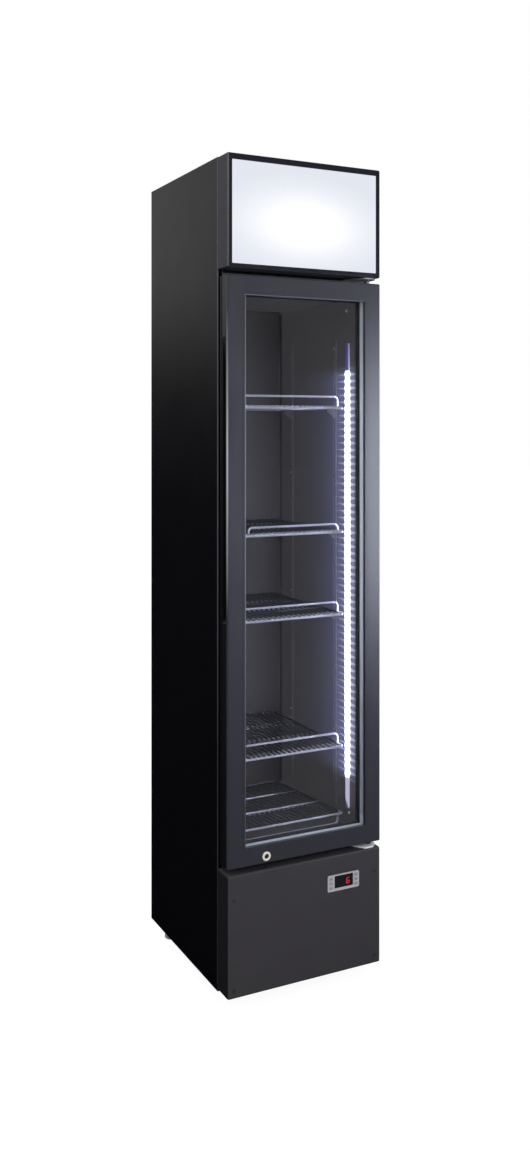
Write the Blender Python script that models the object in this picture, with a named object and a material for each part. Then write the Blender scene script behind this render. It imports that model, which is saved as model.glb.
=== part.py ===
"""A slim glass-door display refrigerator, built piece by piece in metres.

The cabinet stands on the plane z = 0 with its door towards -Y and its hinges at +X.
The origin is under the middle of the whole object.
"""
import math

import bmesh
import bpy
from mathutils import Matrix, Vector

# Overall size
WIDTH = 0.360
DEPTH = 0.425
FOOT_HEIGHT = 0.030

# Fits shared by all pieces
SEAT_GAP = 0.0003
CUT_OVERRUN = 0.004
SHEET = 0.001

# Front layer: header, door and base cover lie in one slab in front of the cabinet,
# and with the gaps between them they make up its height
FRONT_LAYER = 0.049
HEADER_HEIGHT = 0.2315
DOOR_HEIGHT = 1.193
DOOR_GAP = 0.0125
BASE_COVER_LIFT = 0.003
COVER_ABOVE_DECK = 0.0055

# Insulated box
SIDE_INSULATION = 0.035
BACK_INSULATION = 0.029
FLOOR_INSULATION = 0.037
CEILING_INSULATION = 0.0385
LINER_WALL = 0.0015
LINER_CORNER_RADIUS = 0.004
LINER_FLANGE_INSET = 0.001
DRAIN_BORE = 0.004
DRAIN_WALL = 0.002

# Folds of the outer sheets
FRONT_RETURN = 0.010
REAR_RETURN = 0.012
TOP_FOLD = 0.015
DECK_FOLD = 0.032
MOUNT_FOLD = 0.025

# Header
HEADER_WALL = 0.0015
HEADER_BEZEL_SIDE = 0.010
HEADER_BEZEL_TOP = 0.013
HEADER_CORNER_RADIUS = 0.003
LIGHT_PANEL = 0.003
TRAY_WALL = 0.001
TRAY_DEPTH = 0.036
LED_BOARD_HEIGHT = 0.080
LED_BOARD_THICK = 0.0016
LED_BOARD_SIDE_INSET = 0.045
LED_SIZE = 0.007
LED_HEIGHT = 0.003
LED_PER_ROW = 9
LED_ROW_INSET = 0.014
DRIVER_SIZE = (0.130, 0.045, 0.032)
DRIVER_FROM_BACK = 0.060
DRIVER_EAR = 0.010
DRIVER_EAR_THICK = 0.003

# Evaporator
EVAPORATOR_SIDE_INSET = 0.040
EVAPORATOR_PLATE = 0.0015
EVAPORATOR_CHANNEL = 0.005
EVAPORATOR_CHANNEL_HEIGHT = 0.002
EVAPORATOR_PASSES = 9
EVAPORATOR_INSET = 0.090
EVAPORATOR_CHANNEL_INSET = 0.015
EVAPORATOR_TUBE_RADIUS = 0.004

# Base cover and controller
COVER_SHEET = 0.0012
COVER_CORNER_RADIUS = 0.004
COVER_BOTTOM_FOLD = 0.015
HINGE_SLOT_MARGIN = 0.002
CONTROLLER_FROM_SIDE = 0.0924
CONTROLLER_BELOW_COVER_TOP = 0.057
CONTROLLER_BEZEL = (0.076, 0.034)
CONTROLLER_BEZEL_THICK = 0.0022
CONTROLLER_BODY = (0.0704, 0.0284)
CONTROLLER_DEPTH = 0.055
CONTROLLER_CUT_GAP = 0.0005
CONTROLLER_CORNER_RADIUS = 0.003
WINDOW_SIZE = (0.0445, 0.0250)
WINDOW_OFFSET = (0.0007, 0.0015)
WINDOW_THICK = 0.0012
WINDOW_SUNK = 0.0004
KEY_SIZE = (0.0085, 0.0062)
KEY_PITCH = 0.0095
KEY_COLUMN = 0.0303
KEY_THICK = 0.0020
KEY_PROUD = 0.0004
KEY_TRAVEL = 0.0008
KEY_CORNER_RADIUS = 0.0012

# Door
DOOR_THICK = 0.038
DOOR_FRAME_FACE = 0.040
DOOR_FRONT_LIP = 0.004
DOOR_REBATE = 0.012
DOOR_CORNER_RADIUS = 0.002
GLASS = 0.004
GLASS_SPACE = 0.016
SPACER_WIDTH = 0.009
GASKET_GAP = 0.002
GASKET_WIDTH = 0.012
GASKET_NECK = 0.0025
GRIP_FRONT_LIP = 0.011
GRIP_WIDTH = 0.017
GRIP_DEPTH = 0.012
GRIP_BELOW_DOOR_TOP = 0.113
GRIP_FADE = 0.093
GRIP_ABOVE_DOOR_BOTTOM = 0.489
GRIP_BOTTOM_RAMP = 0.012
EDGE_GROOVE_DEPTH = 0.0015
EDGE_GROOVE_WIDTH = 0.024

# Hinges
HINGE_PLATE = 0.003
HINGE_PIN_RADIUS = 0.004
HINGE_PIN_REACH = 0.013
HINGE_PIN_END_GAP = 0.002
HINGE_PIN_INSET = 0.018
HINGE_PIN_FROM_FRONT = 0.0225
HINGE_BORE_CLEARANCE = 0.0005
HINGE_ARM_LEFT = 0.065
HINGE_ARM_WIDTH = 0.011
HINGE_FRONT_INSET = 0.002
HINGE_NOSE_LEFT = 0.036
HINGE_RIGHT_INSET = 0.0045
HINGE_LEG_INSET = 0.0115
HINGE_LEG = 0.030
HINGE_NOSE_CHAMFER = 0.012
SPACER_RING_RADIUS = 0.0072

# Lock
LOCK_FROM_SIDE = 0.0864
LOCK_ABOVE_DOOR_BOTTOM = 0.0148
LOCK_RING_RADIUS = 0.0093
LOCK_RING_BEVEL = 0.0010
LOCK_PROUD = 0.003
LOCK_BODY_RADIUS = 0.0070
LOCK_PLUG_RADIUS = 0.0045
LOCK_PLUG_SUNK = 0.0006
KEYWAY = (0.0012, 0.0046)
KEYWAY_DEPTH = 0.004
LOCK_BODY_LENGTH = 0.0125
CAM_THICK = 0.0025
CAM_HUB_RADIUS = 0.0070
CAM_ARM_WIDTH = 0.009
CAM_REACH = 0.038
CAM_HOOK_WIDTH = 0.008
CAM_HOOK_DROP = 0.0185
CAM_POCKET_DEPTH = 0.008
CAM_POCKET_MARGIN = 0.003
CAM_SLOT_MARGIN = 0.002
CAM_SLOT_REACH = 0.034

# Shelves
SHELF_SIDE_GAP = 0.017
SHELF_FRONT_GAP = 0.0165
SHELF_REAR_GAP = 0.0095
SHELF_CROSS_COUNT = 4
CROSS_WIRE_RADIUS = 0.0025
THIN_WIRE_RADIUS = 0.0017
THIN_WIRE_PITCH = 0.012
WIRE_BITE = 0.0005
FENCE_SETBACK = 0.016
FENCE_HEIGHT = 0.025
FENCE_LOW_HEIGHT = 0.016
FENCE_CORNER_RADIUS = 0.009
FENCE_RADIUS = 0.0024
FENCE_WIRES_SHORT = 2
LOWEST_SHELF_ABOVE_FLOOR = 0.1745
CLIP_PITCH = 0.0179
CLIP_STEP_SHARES = (0, 0.327, 0.531, 0.837)
WIRE_SIDES = 6
FRAME_CORNER_RADIUS = 0.008

# Uprights and clips that carry the shelves
UPRIGHT_WIDTH = 0.014
UPRIGHT_THICK = 0.003
UPRIGHT_SLOT_WIDTH = 0.004
UPRIGHT_GROOVE_DEPTH = 0.001
UPRIGHT_BELOW_CEILING = 0.085
UPRIGHT_ABOVE_FLOOR = 0.030
UPRIGHT_FRONT_FROM_CABINET = 0.0835
UPRIGHT_REAR_FROM_LINER = 0.0605
CLIP_WIDTH = 0.009
CLIP_REACH = 0.024
CLIP_TIP = 0.004
CLIP_DROP = 0.022

# Light bar on the right wall
BAR_WIDTH = 0.011
BAR_PROUD = 0.010
BAR_FROM_CABINET = 0.0175
BAR_ABOVE_FLOOR = 0.0355
BAR_BELOW_CEILING = 0.0974
BAR_WALL = 0.0012
BAR_LIP = 0.0035
BAR_DARK_LOW_END = 0.0635
BAR_DARK_HIGH_END = 0.0526
BAR_BOARD_THICK = 0.001
BAR_BOARD_SIDE_GAP = 0.0006
BAR_COVER_SIDES = 6

# Machine compartment
MACHINE_HEIGHT = 0.245
PAN_LIFT = 0.006
PAN_FOLD = 0.020
PAN_SHEET = 0.0015
COMPRESSOR_FROM_SIDE = 0.097
COMPRESSOR_FROM_BACK = 0.128
COMPRESSOR_SQUASH_SHARE = 0.78
COMPRESSOR_SIDES = 22
COMPRESSOR_PLATE = (0.172, 0.128, 0.0025)
COMPRESSOR_BOOT = 0.012
COMPRESSOR_BOOT_RADIUS = 0.010
COMPRESSOR_BOOT_INSET = 0.014
COMPRESSOR_RADII = (0.052, 0.064, 0.070, 0.070, 0.075, 0.075, 0.070, 0.068, 0.058, 0.036)
COMPRESSOR_LEVELS = (0.0, 0.006, 0.020, 0.062, 0.064, 0.070, 0.072, 0.110, 0.134, 0.148)
COMPRESSOR_CROWN = 0.152
RELAY_BOX = (0.044, 0.028, 0.050)
RELAY_LEVEL = 0.020
RELAY_SINK = 0.010

CONDENSER_FROM_COMPRESSOR = 0.008
CONDENSER_FROM_SIDE = 0.039
CONDENSER_DEPTH = 0.044
CONDENSER_HEIGHT = 0.150
CONDENSER_FROM_BACK = 0.012
CONDENSER_FINS = 13
CONDENSER_FIN_SHARE = 0.30
CONDENSER_SLOT_MARGIN = 0.008
CONDENSER_FOOT = 0.004
CONDENSER_FOOT_WIDTH = 0.010
CONDENSER_BEND_RADIUS = 0.004
CONDENSER_BEND_REACH = 0.008
CONDENSER_BENDS = 4
CONDENSER_BEND_START_SHARES = (0.5, 1.0)

SHROUD_PLATE = 0.002
SHROUD_RING = 0.018
FAN_TIP_INSET = 0.009
FAN_TIP_GAP = 0.003
FAN_HUB_RADIUS = 0.016
FAN_HUB_LENGTH = 0.014
FAN_BLADES = 5
FAN_BLADE_THICK = 0.0016
FAN_BLADE_CHORD = 0.034
FAN_BLADE_ROOT = 0.020
FAN_BLADE_SINK = 0.004
FAN_PITCH_DEGREES = 28
FAN_SIDES = 20
MOTOR_RADIUS = 0.024
MOTOR_LENGTH = 0.034
MOTOR_GAP = 0.003
MOTOR_SHAFT_RADIUS = 0.003
MOTOR_ARM_WIDTH = 0.010
MOTOR_ARM_THICK = 0.003
MOTOR_SHAFT_CLEARANCE = 0.0006
MOTOR_END_BEVEL = 0.003

DRAIN_TRAY_HALF = (0.062, 0.050)
DRAIN_TRAY_HEIGHT = 0.024
DRAIN_TRAY_WALL = 0.0015
DRIER_RADIUS = 0.008
DRIER_LENGTH = 0.070
DRIER_NECK = 0.010
DRIER_FROM_CONDENSER = 0.025
DRIER_RUN = 0.060
TUBE_RADIUS = 0.003
TUBE_BEND = 0.008
CAPILLARY_RADIUS = 0.0015
SUCTION_LEVEL = 0.045
DISCHARGE_FROM_CONDENSER = 0.016

# Rear grille
GRILLE_LOUVRES = 8
GRILLE_LOUVRE_PROUD = 0.003
GRILLE_LOUVRE_HEIGHT = 0.009
GRILLE_SLOT = 0.004
GRILLE_PITCH = 0.019
GRILLE_FIRST = 0.052
GRILLE_LOUVRE_INSET = 0.024
GLAND_RADIUS = 0.009
GLAND_BORE = 0.0045
GLAND_LENGTH = 0.008
GLAND_FROM_SIDE = 0.040
GLAND_LEVEL = 0.0385

# Feet
FOOT_RADIUS = 0.015
FOOT_NECK_RADIUS = 0.010
FOOT_PAD_SHARE = 0.30
FOOT_STEM_RADIUS = 0.004
FOOT_STEM = 0.020
FOOT_FLAT_BEVEL = 0.0015
FOOT_HOLE_CLEARANCE = 0.0004
REAR_FOOT_FROM_SIDE = 0.030
REAR_FOOT_FROM_BACK = 0.0505
FRONT_FOOT_FROM_SIDE = 0.050
FRONT_FOOT_FROM_CABINET = 0.0635

ROUND_SIDES = 20
SMALL_SIDES = 12
MERGE = 0.000001
SMOOTH_DEGREES = 35

# Levels and planes worked out from the sizes
HALF = WIDTH / 2
FRONT = -(LOCK_PROUD + DEPTH + GRILLE_LOUVRE_PROUD) / 2 + LOCK_PROUD
CABINET = FRONT + FRONT_LAYER
BACK = FRONT + DEPTH
BOTTOM = FOOT_HEIGHT
DECK_TOP = BOTTOM + MACHINE_HEIGHT
COVER_TOP = DECK_TOP + COVER_ABOVE_DECK
COVER_LOW = BOTTOM + BASE_COVER_LIFT
DOOR_BOTTOM = COVER_TOP + DOOR_GAP
DOOR_TOP = DOOR_BOTTOM + DOOR_HEIGHT
HEADER_LOW = DOOR_TOP + DOOR_GAP
TOP = HEADER_LOW + HEADER_HEIGHT
INSIDE_HALF = HALF - SIDE_INSULATION
INSIDE_BACK = BACK - BACK_INSULATION
INSIDE_FLOOR = DECK_TOP + FLOOR_INSULATION
INSIDE_CEILING = HEADER_LOW - CEILING_INSULATION
DOOR_REAR = FRONT + DOOR_THICK
INNER_X = HALF - SHEET - SEAT_GAP
RETURN_X = HALF - FRONT_RETURN - SEAT_GAP
BEHIND_RETURN = CABINET + SHEET + SEAT_GAP
BEFORE_BACK = BACK - SHEET - SEAT_GAP
GLASS_HALF = HALF - DOOR_FRAME_FACE
GLASS_LOW = DOOR_BOTTOM + DOOR_FRAME_FACE
GLASS_HIGH = DOOR_TOP - DOOR_FRAME_FACE
PIN_X = HALF - HINGE_PIN_INSET
PIN_Y = FRONT + HINGE_PIN_FROM_FRONT
LOCK_X = LOCK_FROM_SIDE - HALF
LOCK_Z = DOOR_BOTTOM + LOCK_ABOVE_DOOR_BOTTOM
CAM_Y = FRONT + LOCK_BODY_LENGTH + SEAT_GAP
GRIP_TOP = DOOR_TOP - GRIP_BELOW_DOOR_TOP
GRIP_FULL_TOP = GRIP_TOP - GRIP_FADE
GRIP_BOTTOM = DOOR_BOTTOM + GRIP_ABOVE_DOOR_BOTTOM
CONTROLLER_X = HALF - CONTROLLER_FROM_SIDE
CONTROLLER_Z = COVER_TOP - CONTROLLER_BELOW_COVER_TOP
PAN_TOP = BOTTOM + PAN_LIFT + PAN_SHEET
GRILLE_TOP = DECK_TOP - SHEET - SEAT_GAP
EVAPORATOR_HALF = INSIDE_HALF - EVAPORATOR_SIDE_INSET
COMPRESSOR_X = COMPRESSOR_FROM_SIDE - HALF
COMPRESSOR_Y = BACK - COMPRESSOR_FROM_BACK
CONDENSER_LEFT = COMPRESSOR_X + COMPRESSOR_PLATE[0] / 2 + CONDENSER_FROM_COMPRESSOR
CONDENSER_RIGHT = HALF - CONDENSER_FROM_SIDE
FAN_TIP_RADIUS = min(CONDENSER_RIGHT - CONDENSER_LEFT, CONDENSER_HEIGHT) / 2 - FAN_TIP_INSET
GLAND_X = GLAND_FROM_SIDE - HALF
REAR_FOOT_X = HALF - REAR_FOOT_FROM_SIDE
FRONT_FOOT_X = HALF - FRONT_FOOT_FROM_SIDE
SHELF_HALF = INSIDE_HALF - SHELF_SIDE_GAP
SHELF_FRONT = CABINET + SHELF_FRONT_GAP
SHELF_REAR = INSIDE_BACK - SHELF_REAR_GAP
WIRES_EACH_SIDE = int((SHELF_HALF - CROSS_WIRE_RADIUS * 2 - THIN_WIRE_RADIUS)
                      / THIN_WIRE_PITCH)
UPRIGHT_BOTTOM = INSIDE_FLOOR + UPRIGHT_ABOVE_FLOOR
UPRIGHT_TOP = INSIDE_CEILING - UPRIGHT_BELOW_CEILING
LOWEST_SHELF = INSIDE_FLOOR + LOWEST_SHELF_ABOVE_FLOOR
CLIP_STEPS = int((UPRIGHT_TOP - LOWEST_SHELF) / CLIP_PITCH)
CLIP_LEVELS = [LOWEST_SHELF + round(share * CLIP_STEPS) * CLIP_PITCH
               for share in CLIP_STEP_SHARES]
BAR_BOTTOM = INSIDE_FLOOR + BAR_ABOVE_FLOOR
BAR_TOP = INSIDE_CEILING - BAR_BELOW_CEILING


# Shapes

def block(low, high):
    """A box between two corners."""
    bm = bmesh.new()
    bmesh.ops.create_cube(bm, size=1)
    low, high = Vector(low), Vector(high)
    bmesh.ops.scale(bm, vec=high - low, verts=bm.verts)
    bmesh.ops.translate(bm, vec=(low + high) / 2, verts=bm.verts)
    return bm


def rounded_block(low, high, radius, segments, along=None):
    """A box whose edges are rounded, all of them or only those along one axis."""
    bm = block(low, high)
    edges = list(bm.edges)
    if along is not None:
        edges = [edge for edge in edges
                 if abs((edge.verts[0].co - edge.verts[1].co).normalized()[along]) > 0.5]
    bmesh.ops.bevel(bm, geom=edges, offset=radius, offset_type="OFFSET", segments=segments,
                    profile=0.5, affect="EDGES", material=-1)
    return bm


def prism(outline, axis, start, end):
    """An outline of two coordinates carried along the third axis (0 x, 1 y, 2 z)."""
    def place(point, level):
        spot = list(point)
        spot.insert(axis, level)
        return spot
    bm = bmesh.new()
    face = bm.faces.new([bm.verts.new(place(point, start)) for point in outline])
    grown = bmesh.ops.extrude_face_region(bm, geom=[face])["geom"]
    moved = [item for item in grown if isinstance(item, bmesh.types.BMVert)]
    travel = Vector(place((0, 0), end)) - Vector(place((0, 0), start))
    bmesh.ops.translate(bm, vec=travel, verts=moved)
    bmesh.ops.recalc_face_normals(bm, faces=bm.faces)
    return bm


def turned(profile, axis, centre, sides):
    """A profile of (radius, level) points turned about an axis through centre."""
    bm = bmesh.new()
    verts = [bm.verts.new((radius, 0, level)) for radius, level in profile]
    edges = [bm.edges.new(pair) for pair in zip(verts, verts[1:])]
    if profile[0][0] > 0:
        edges.append(bm.edges.new((verts[-1], verts[0])))
    bmesh.ops.spin(bm, geom=verts + edges, cent=(0, 0, 0), axis=(0, 0, 1),
                   angle=math.tau, steps=sides, use_merge=True)
    bmesh.ops.remove_doubles(bm, verts=bm.verts, dist=MERGE)
    bmesh.ops.recalc_face_normals(bm, faces=bm.faces)
    turn = {0: Matrix.Rotation(math.pi / 2, 4, "Y"),
            1: Matrix.Rotation(-math.pi / 2, 4, "X"),
            2: Matrix.Identity(4)}[axis]
    bmesh.ops.transform(bm, matrix=Matrix.Translation(centre) @ turn, verts=bm.verts)
    return bm


def rod(radius, axis, centre, start, end, sides):
    """A round bar along an axis, from one level to another."""
    spot = list(centre)
    spot[axis] = 0
    return turned([(0, start), (radius, start), (radius, end), (0, end)], axis, spot, sides)


def wire(points, radius, sides, normal=None, closed=False):
    """A round wire along a line of points, with closed ends or as a closed loop."""
    bm = bmesh.new()
    points = [Vector(point) for point in points]
    count = len(points)
    normal = None if normal is None else Vector(normal)
    rings = []
    for index, point in enumerate(points):
        before = points[(index - 1) % count if closed else max(index - 1, 0)]
        after = points[(index + 1) % count if closed else min(index + 1, count - 1)]
        inside = closed or 0 < index < count - 1
        tangent = (after - before).normalized()
        if inside:
            tangent = ((after - point).normalized() + (point - before).normalized()).normalized()
        if normal is None:
            normal = tangent.orthogonal().normalized()
        normal = (normal - tangent * normal.dot(tangent)).normalized()
        side = tangent.cross(normal)
        lean = 1
        if inside:
            lean = 1 / math.cos((after - point).angle(point - before) / 2)
        ring = []
        for step in range(sides):
            angle = math.tau * (step + 0.5) / sides
            ring.append(bm.verts.new(point + normal * math.cos(angle) * radius
                                     + side * math.sin(angle) * radius * lean))
        rings.append(ring)
    pairs = list(zip(rings, rings[1:]))
    if closed:
        pairs.append((rings[-1], rings[0]))
    for first, second in pairs:
        for step in range(sides):
            after = (step + 1) % sides
            bm.faces.new((first[step], first[after], second[after], second[step]))
    if not closed:
        bm.faces.new(list(reversed(rings[0])))
        bm.faces.new(rings[-1])
    bmesh.ops.recalc_face_normals(bm, faces=bm.faces)
    return bm


def bend(corner, first, second, radius, steps):
    """Points of a round bend at a corner, from the way to first to the way to second."""
    corner = Vector(corner)
    first = (Vector(first) - corner).normalized()
    second = (Vector(second) - corner).normalized()
    centre = corner + (first + second) * radius
    points = []
    for step in range(steps + 1):
        angle = math.pi / 2 * step / steps
        points.append(centre - second * radius * math.cos(angle)
                      - first * radius * math.sin(angle))
    return points


def without(shape, cutter):
    """A shape with a cutter taken out of it, to cut or join with."""
    item = bpy.data.objects.new("shape", bpy.data.meshes.new("shape"))
    bpy.context.collection.objects.link(item)
    shape.to_mesh(item.data)
    shape.free()
    combine(item, cutter, "DIFFERENCE")
    left = bmesh.new()
    left.from_mesh(item.data)
    bpy.data.objects.remove(item)
    return left


def gathered(shapes):
    """Several separate shapes in one bmesh, for one cut or one union."""
    whole = bmesh.new()
    for shape in shapes:
        mesh = bpy.data.meshes.new("shape")
        shape.to_mesh(mesh)
        shape.free()
        whole.from_mesh(mesh)
        bpy.data.meshes.remove(mesh)
    return whole


# Pieces

def colour(text):
    """A colour written as sRGB hex, as linear values."""
    values = [int(text[at:at + 2], 16) / 255 for at in (0, 2, 4)]
    return [((value + 0.055) / 1.055) ** 2.4 if value > 0.04045 else value / 12.92
            for value in values] + [1]


def finish(name, hue, roughness, metallic=0.0, alpha=1.0, glow=0.0):
    """A plain material with the piece's own colour."""
    material = bpy.data.materials.get(name) or bpy.data.materials.new(name)
    material.use_nodes = True
    shader = material.node_tree.nodes["Principled BSDF"]
    shader.inputs["Base Color"].default_value = colour(hue)
    shader.inputs["Roughness"].default_value = roughness
    shader.inputs["Metallic"].default_value = metallic
    shader.inputs["Alpha"].default_value = alpha
    shader.inputs["Emission Color"].default_value = colour(hue)
    shader.inputs["Emission Strength"].default_value = glow
    material.diffuse_color = colour(hue)
    return material


def combine(piece, shape, operation):
    """A Boolean of the piece with a shape, applied at once."""
    mesh = bpy.data.meshes.new("tool")
    shape.to_mesh(mesh)
    shape.free()
    tool = bpy.data.objects.new("tool", mesh)
    bpy.context.collection.objects.link(tool)
    modifier = piece.modifiers.new("combine", "BOOLEAN")
    modifier.operation = operation
    modifier.object = tool
    bpy.context.view_layer.update()
    graph = bpy.context.evaluated_depsgraph_get()
    result = bpy.data.meshes.new_from_object(piece.evaluated_get(graph))
    piece.modifiers.clear()
    spare = piece.data
    piece.data = result
    bpy.data.meshes.remove(spare)
    bpy.data.objects.remove(tool)
    bpy.data.meshes.remove(mesh)


def dress(item, material):
    """Give a piece its material and smooth its round faces."""
    item.data.materials.clear()
    item.data.materials.append(material)
    item.data.shade_smooth()
    item.data.set_sharp_from_angle(angle=math.radians(SMOOTH_DEGREES))


def piece(name, shape, material, cuts=(), joins=(), late_joins=(), last_cuts=(),
          pivot=(0, 0, 0)):
    """A named sub-part: a shape, what is joined, what is cut and what is joined after."""
    mesh = bpy.data.meshes.new(name)
    shape.to_mesh(mesh)
    shape.free()
    item = bpy.data.objects.new(name, mesh)
    bpy.context.collection.objects.link(item)
    for extra in joins:
        combine(item, extra, "UNION")
    for cutter in cuts:
        combine(item, cutter, "DIFFERENCE")
    for extra in late_joins:
        combine(item, extra, "UNION")
    for cutter in last_cuts:
        combine(item, cutter, "DIFFERENCE")
    item.data.transform(Matrix.Translation(-Vector(pivot)))
    item.location = pivot
    dress(item, material)
    return item


# Cabinet

def side_panel(name, side, paint):
    """A full-height side sheet with a fold at its front and its rear edge."""
    outer, inner = side * HALF, side * (HALF - SHEET)
    front_tip = side * (HALF - FRONT_RETURN)
    rear_tip = side * (HALF - REAR_RETURN)
    outline = [(outer, CABINET), (front_tip, CABINET), (front_tip, CABINET + SHEET),
               (inner, CABINET + SHEET), (inner, BACK - SHEET), (rear_tip, BACK - SHEET),
               (rear_tip, BACK), (outer, BACK)]
    piece(name, prism(outline, 2, BOTTOM, TOP), paint)


def top_panel(paint):
    """The lid between the side sheets, folded down at the front and the rear."""
    front, rear = BEHIND_RETURN, BEFORE_BACK
    outline = [(front, TOP), (front, TOP - TOP_FOLD), (front + SHEET, TOP - TOP_FOLD),
               (front + SHEET, TOP - SHEET), (rear - SHEET, TOP - SHEET),
               (rear - SHEET, TOP - TOP_FOLD), (rear, TOP - TOP_FOLD), (rear, TOP)]
    piece("top_panel", prism(outline, 0, -INNER_X, INNER_X), paint)


def back_panel(paint):
    """The flat rear sheet between the rear folds, down to the machine grille."""
    edge = HALF - REAR_RETURN - SEAT_GAP
    piece("back_panel", block((-edge, BACK - SHEET, DECK_TOP), (edge, BACK, TOP)), paint)


def compressor_deck(paint):
    """The steel floor under the foam, folded down at the front as a cross rail."""
    front, rear = BEHIND_RETURN, BEFORE_BACK
    low = DECK_TOP - DECK_FOLD
    outline = [(front, DECK_TOP), (front, low), (front + SHEET, low),
               (front + SHEET, DECK_TOP - SHEET), (rear, DECK_TOP - SHEET), (rear, DECK_TOP)]
    spout = rod(DRAIN_BORE + DRAIN_WALL + SEAT_GAP, 2, (COMPRESSOR_X, COMPRESSOR_Y, 0),
                DECK_TOP - CUT_OVERRUN, DECK_TOP + CUT_OVERRUN, SMALL_SIDES)
    tube = rod(EVAPORATOR_TUBE_RADIUS + SEAT_GAP, 2, (suction_x(), evaporator_y(), 0),
               DECK_TOP - CUT_OVERRUN, DECK_TOP + CUT_OVERRUN, SMALL_SIDES)
    piece("compressor_deck", prism(outline, 0, -INNER_X, INNER_X), paint,
          cuts=[gathered([spout, tube])])


def liner(plastic):
    """The moulded tub with its front flange and its drain spout."""
    wall = LINER_WALL
    outer = rounded_block((-INSIDE_HALF - wall, CABINET - LINER_CORNER_RADIUS * 2,
                           INSIDE_FLOOR - wall),
                          (INSIDE_HALF + wall, INSIDE_BACK + wall, INSIDE_CEILING + wall),
                          LINER_CORNER_RADIUS + wall, 2)
    inner = rounded_block((-INSIDE_HALF, CABINET - LINER_CORNER_RADIUS * 2, INSIDE_FLOOR),
                          (INSIDE_HALF, INSIDE_BACK, INSIDE_CEILING), LINER_CORNER_RADIUS, 2)
    flange = block((-RETURN_X, CABINET, COVER_TOP + HINGE_PLATE + LINER_FLANGE_INSET),
                   (RETURN_X, CABINET + wall, HEADER_LOW - HINGE_PLATE - LINER_FLANGE_INSET))
    before = block((-HALF, CABINET - LINER_CORNER_RADIUS * 3, BOTTOM), (HALF, CABINET, TOP))
    spot = (COMPRESSOR_X, COMPRESSOR_Y, 0)
    spout = rod(DRAIN_BORE + DRAIN_WALL, 2, spot, DECK_TOP - SHEET * 4,
                INSIDE_FLOOR - wall / 2, SMALL_SIDES)
    bore = rod(DRAIN_BORE, 2, spot, DECK_TOP - SHEET * 4 - CUT_OVERRUN,
               INSIDE_FLOOR + CUT_OVERRUN, SMALL_SIDES)
    piece("inner_liner", outer, plastic, joins=[flange, spout], cuts=[inner, before, bore])


def evaporator_y():
    """The middle plane of the tube on the evaporator plate, behind the liner."""
    return INSIDE_BACK + LINER_WALL + SEAT_GAP + EVAPORATOR_TUBE_RADIUS


def suction_x():
    """The tube leaves the plate beside its last channel."""
    return EVAPORATOR_CHANNEL_INSET - EVAPORATOR_HALF


def foam(white):
    """The foam block that fills the space between the liner and the outer sheets."""
    wall = LINER_WALL + SEAT_GAP
    front = CABINET + LINER_WALL + SEAT_GAP
    body = block((-INNER_X, front, DECK_TOP + SEAT_GAP), (INNER_X, BEFORE_BACK, HEADER_LOW))
    tub = rounded_block((-INSIDE_HALF - wall, CABINET - LINER_CORNER_RADIUS * 2,
                         INSIDE_FLOOR - wall),
                        (INSIDE_HALF + wall, INSIDE_BACK + wall, INSIDE_CEILING + wall),
                        LINER_CORNER_RADIUS + wall, 2)
    depth = EVAPORATOR_TUBE_RADIUS * 2 + SEAT_GAP * 2
    margin = SEAT_GAP * 2
    plate = block((-EVAPORATOR_HALF - margin, INSIDE_BACK - CUT_OVERRUN,
                   INSIDE_FLOOR + EVAPORATOR_INSET - margin),
                  (EVAPORATOR_HALF + margin, INSIDE_BACK + wall + depth,
                   INSIDE_CEILING - EVAPORATOR_INSET + margin))
    tube = rod(EVAPORATOR_TUBE_RADIUS + SEAT_GAP, 2, (suction_x(), evaporator_y(), 0),
               DECK_TOP - CUT_OVERRUN, INSIDE_FLOOR + EVAPORATOR_INSET, SMALL_SIDES)
    spout = rod(DRAIN_BORE + DRAIN_WALL + SEAT_GAP, 2, (COMPRESSOR_X, COMPRESSOR_Y, 0),
                DECK_TOP - CUT_OVERRUN, INSIDE_FLOOR, SMALL_SIDES)
    piece("foam_insulation", body, white, cuts=[tub, plate, tube, spout])


def evaporator(metal):
    """The cold plate behind the liner, with its channel and its suction tube."""
    low, high = INSIDE_FLOOR + EVAPORATOR_INSET, INSIDE_CEILING - EVAPORATOR_INSET
    front = INSIDE_BACK + LINER_WALL + SEAT_GAP
    rear = front + EVAPORATOR_PLATE
    plate = block((-EVAPORATOR_HALF, front, low), (EVAPORATOR_HALF, rear, high))
    edge = EVAPORATOR_HALF - EVAPORATOR_CHANNEL_INSET
    step = (high - low - 2 * EVAPORATOR_CHANNEL_INSET) / EVAPORATOR_PASSES
    half = EVAPORATOR_CHANNEL / 2
    first = low + EVAPORATOR_CHANNEL_INSET
    runs, links = [], []
    for index in range(EVAPORATOR_PASSES + 1):
        level = first + index * step
        runs.append(block((-edge, rear - EVAPORATOR_PLATE / 2, level - half),
                          (edge, rear + EVAPORATOR_CHANNEL_HEIGHT, level + half)))
    for index in range(EVAPORATOR_PASSES):
        level = first + index * step
        side = (edge - half) if index % 2 else (half - edge)
        links.append(block((side - half + SEAT_GAP, rear - EVAPORATOR_PLATE / 3, level),
                           (side + half - SEAT_GAP, rear + EVAPORATOR_CHANNEL_HEIGHT - SEAT_GAP,
                            level + step)))
    x, y, level = suction_x(), evaporator_y(), compressor_base() + SUCTION_LEVEL
    end = COMPRESSOR_Y + pot_reach(x - COMPRESSOR_X) + SEAT_GAP
    points = [(x, y, first + EVAPORATOR_CHANNEL)]
    points += bend((x, y, level), (x, y, first), (x, end, level), TUBE_BEND, 3)
    points.append((x, end, level))
    tube = wire(points, EVAPORATOR_TUBE_RADIUS, SMALL_SIDES, normal=(1, 0, 0))
    piece("evaporator", plate, metal, joins=[gathered(runs), gathered(links), tube])


# Header

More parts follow.
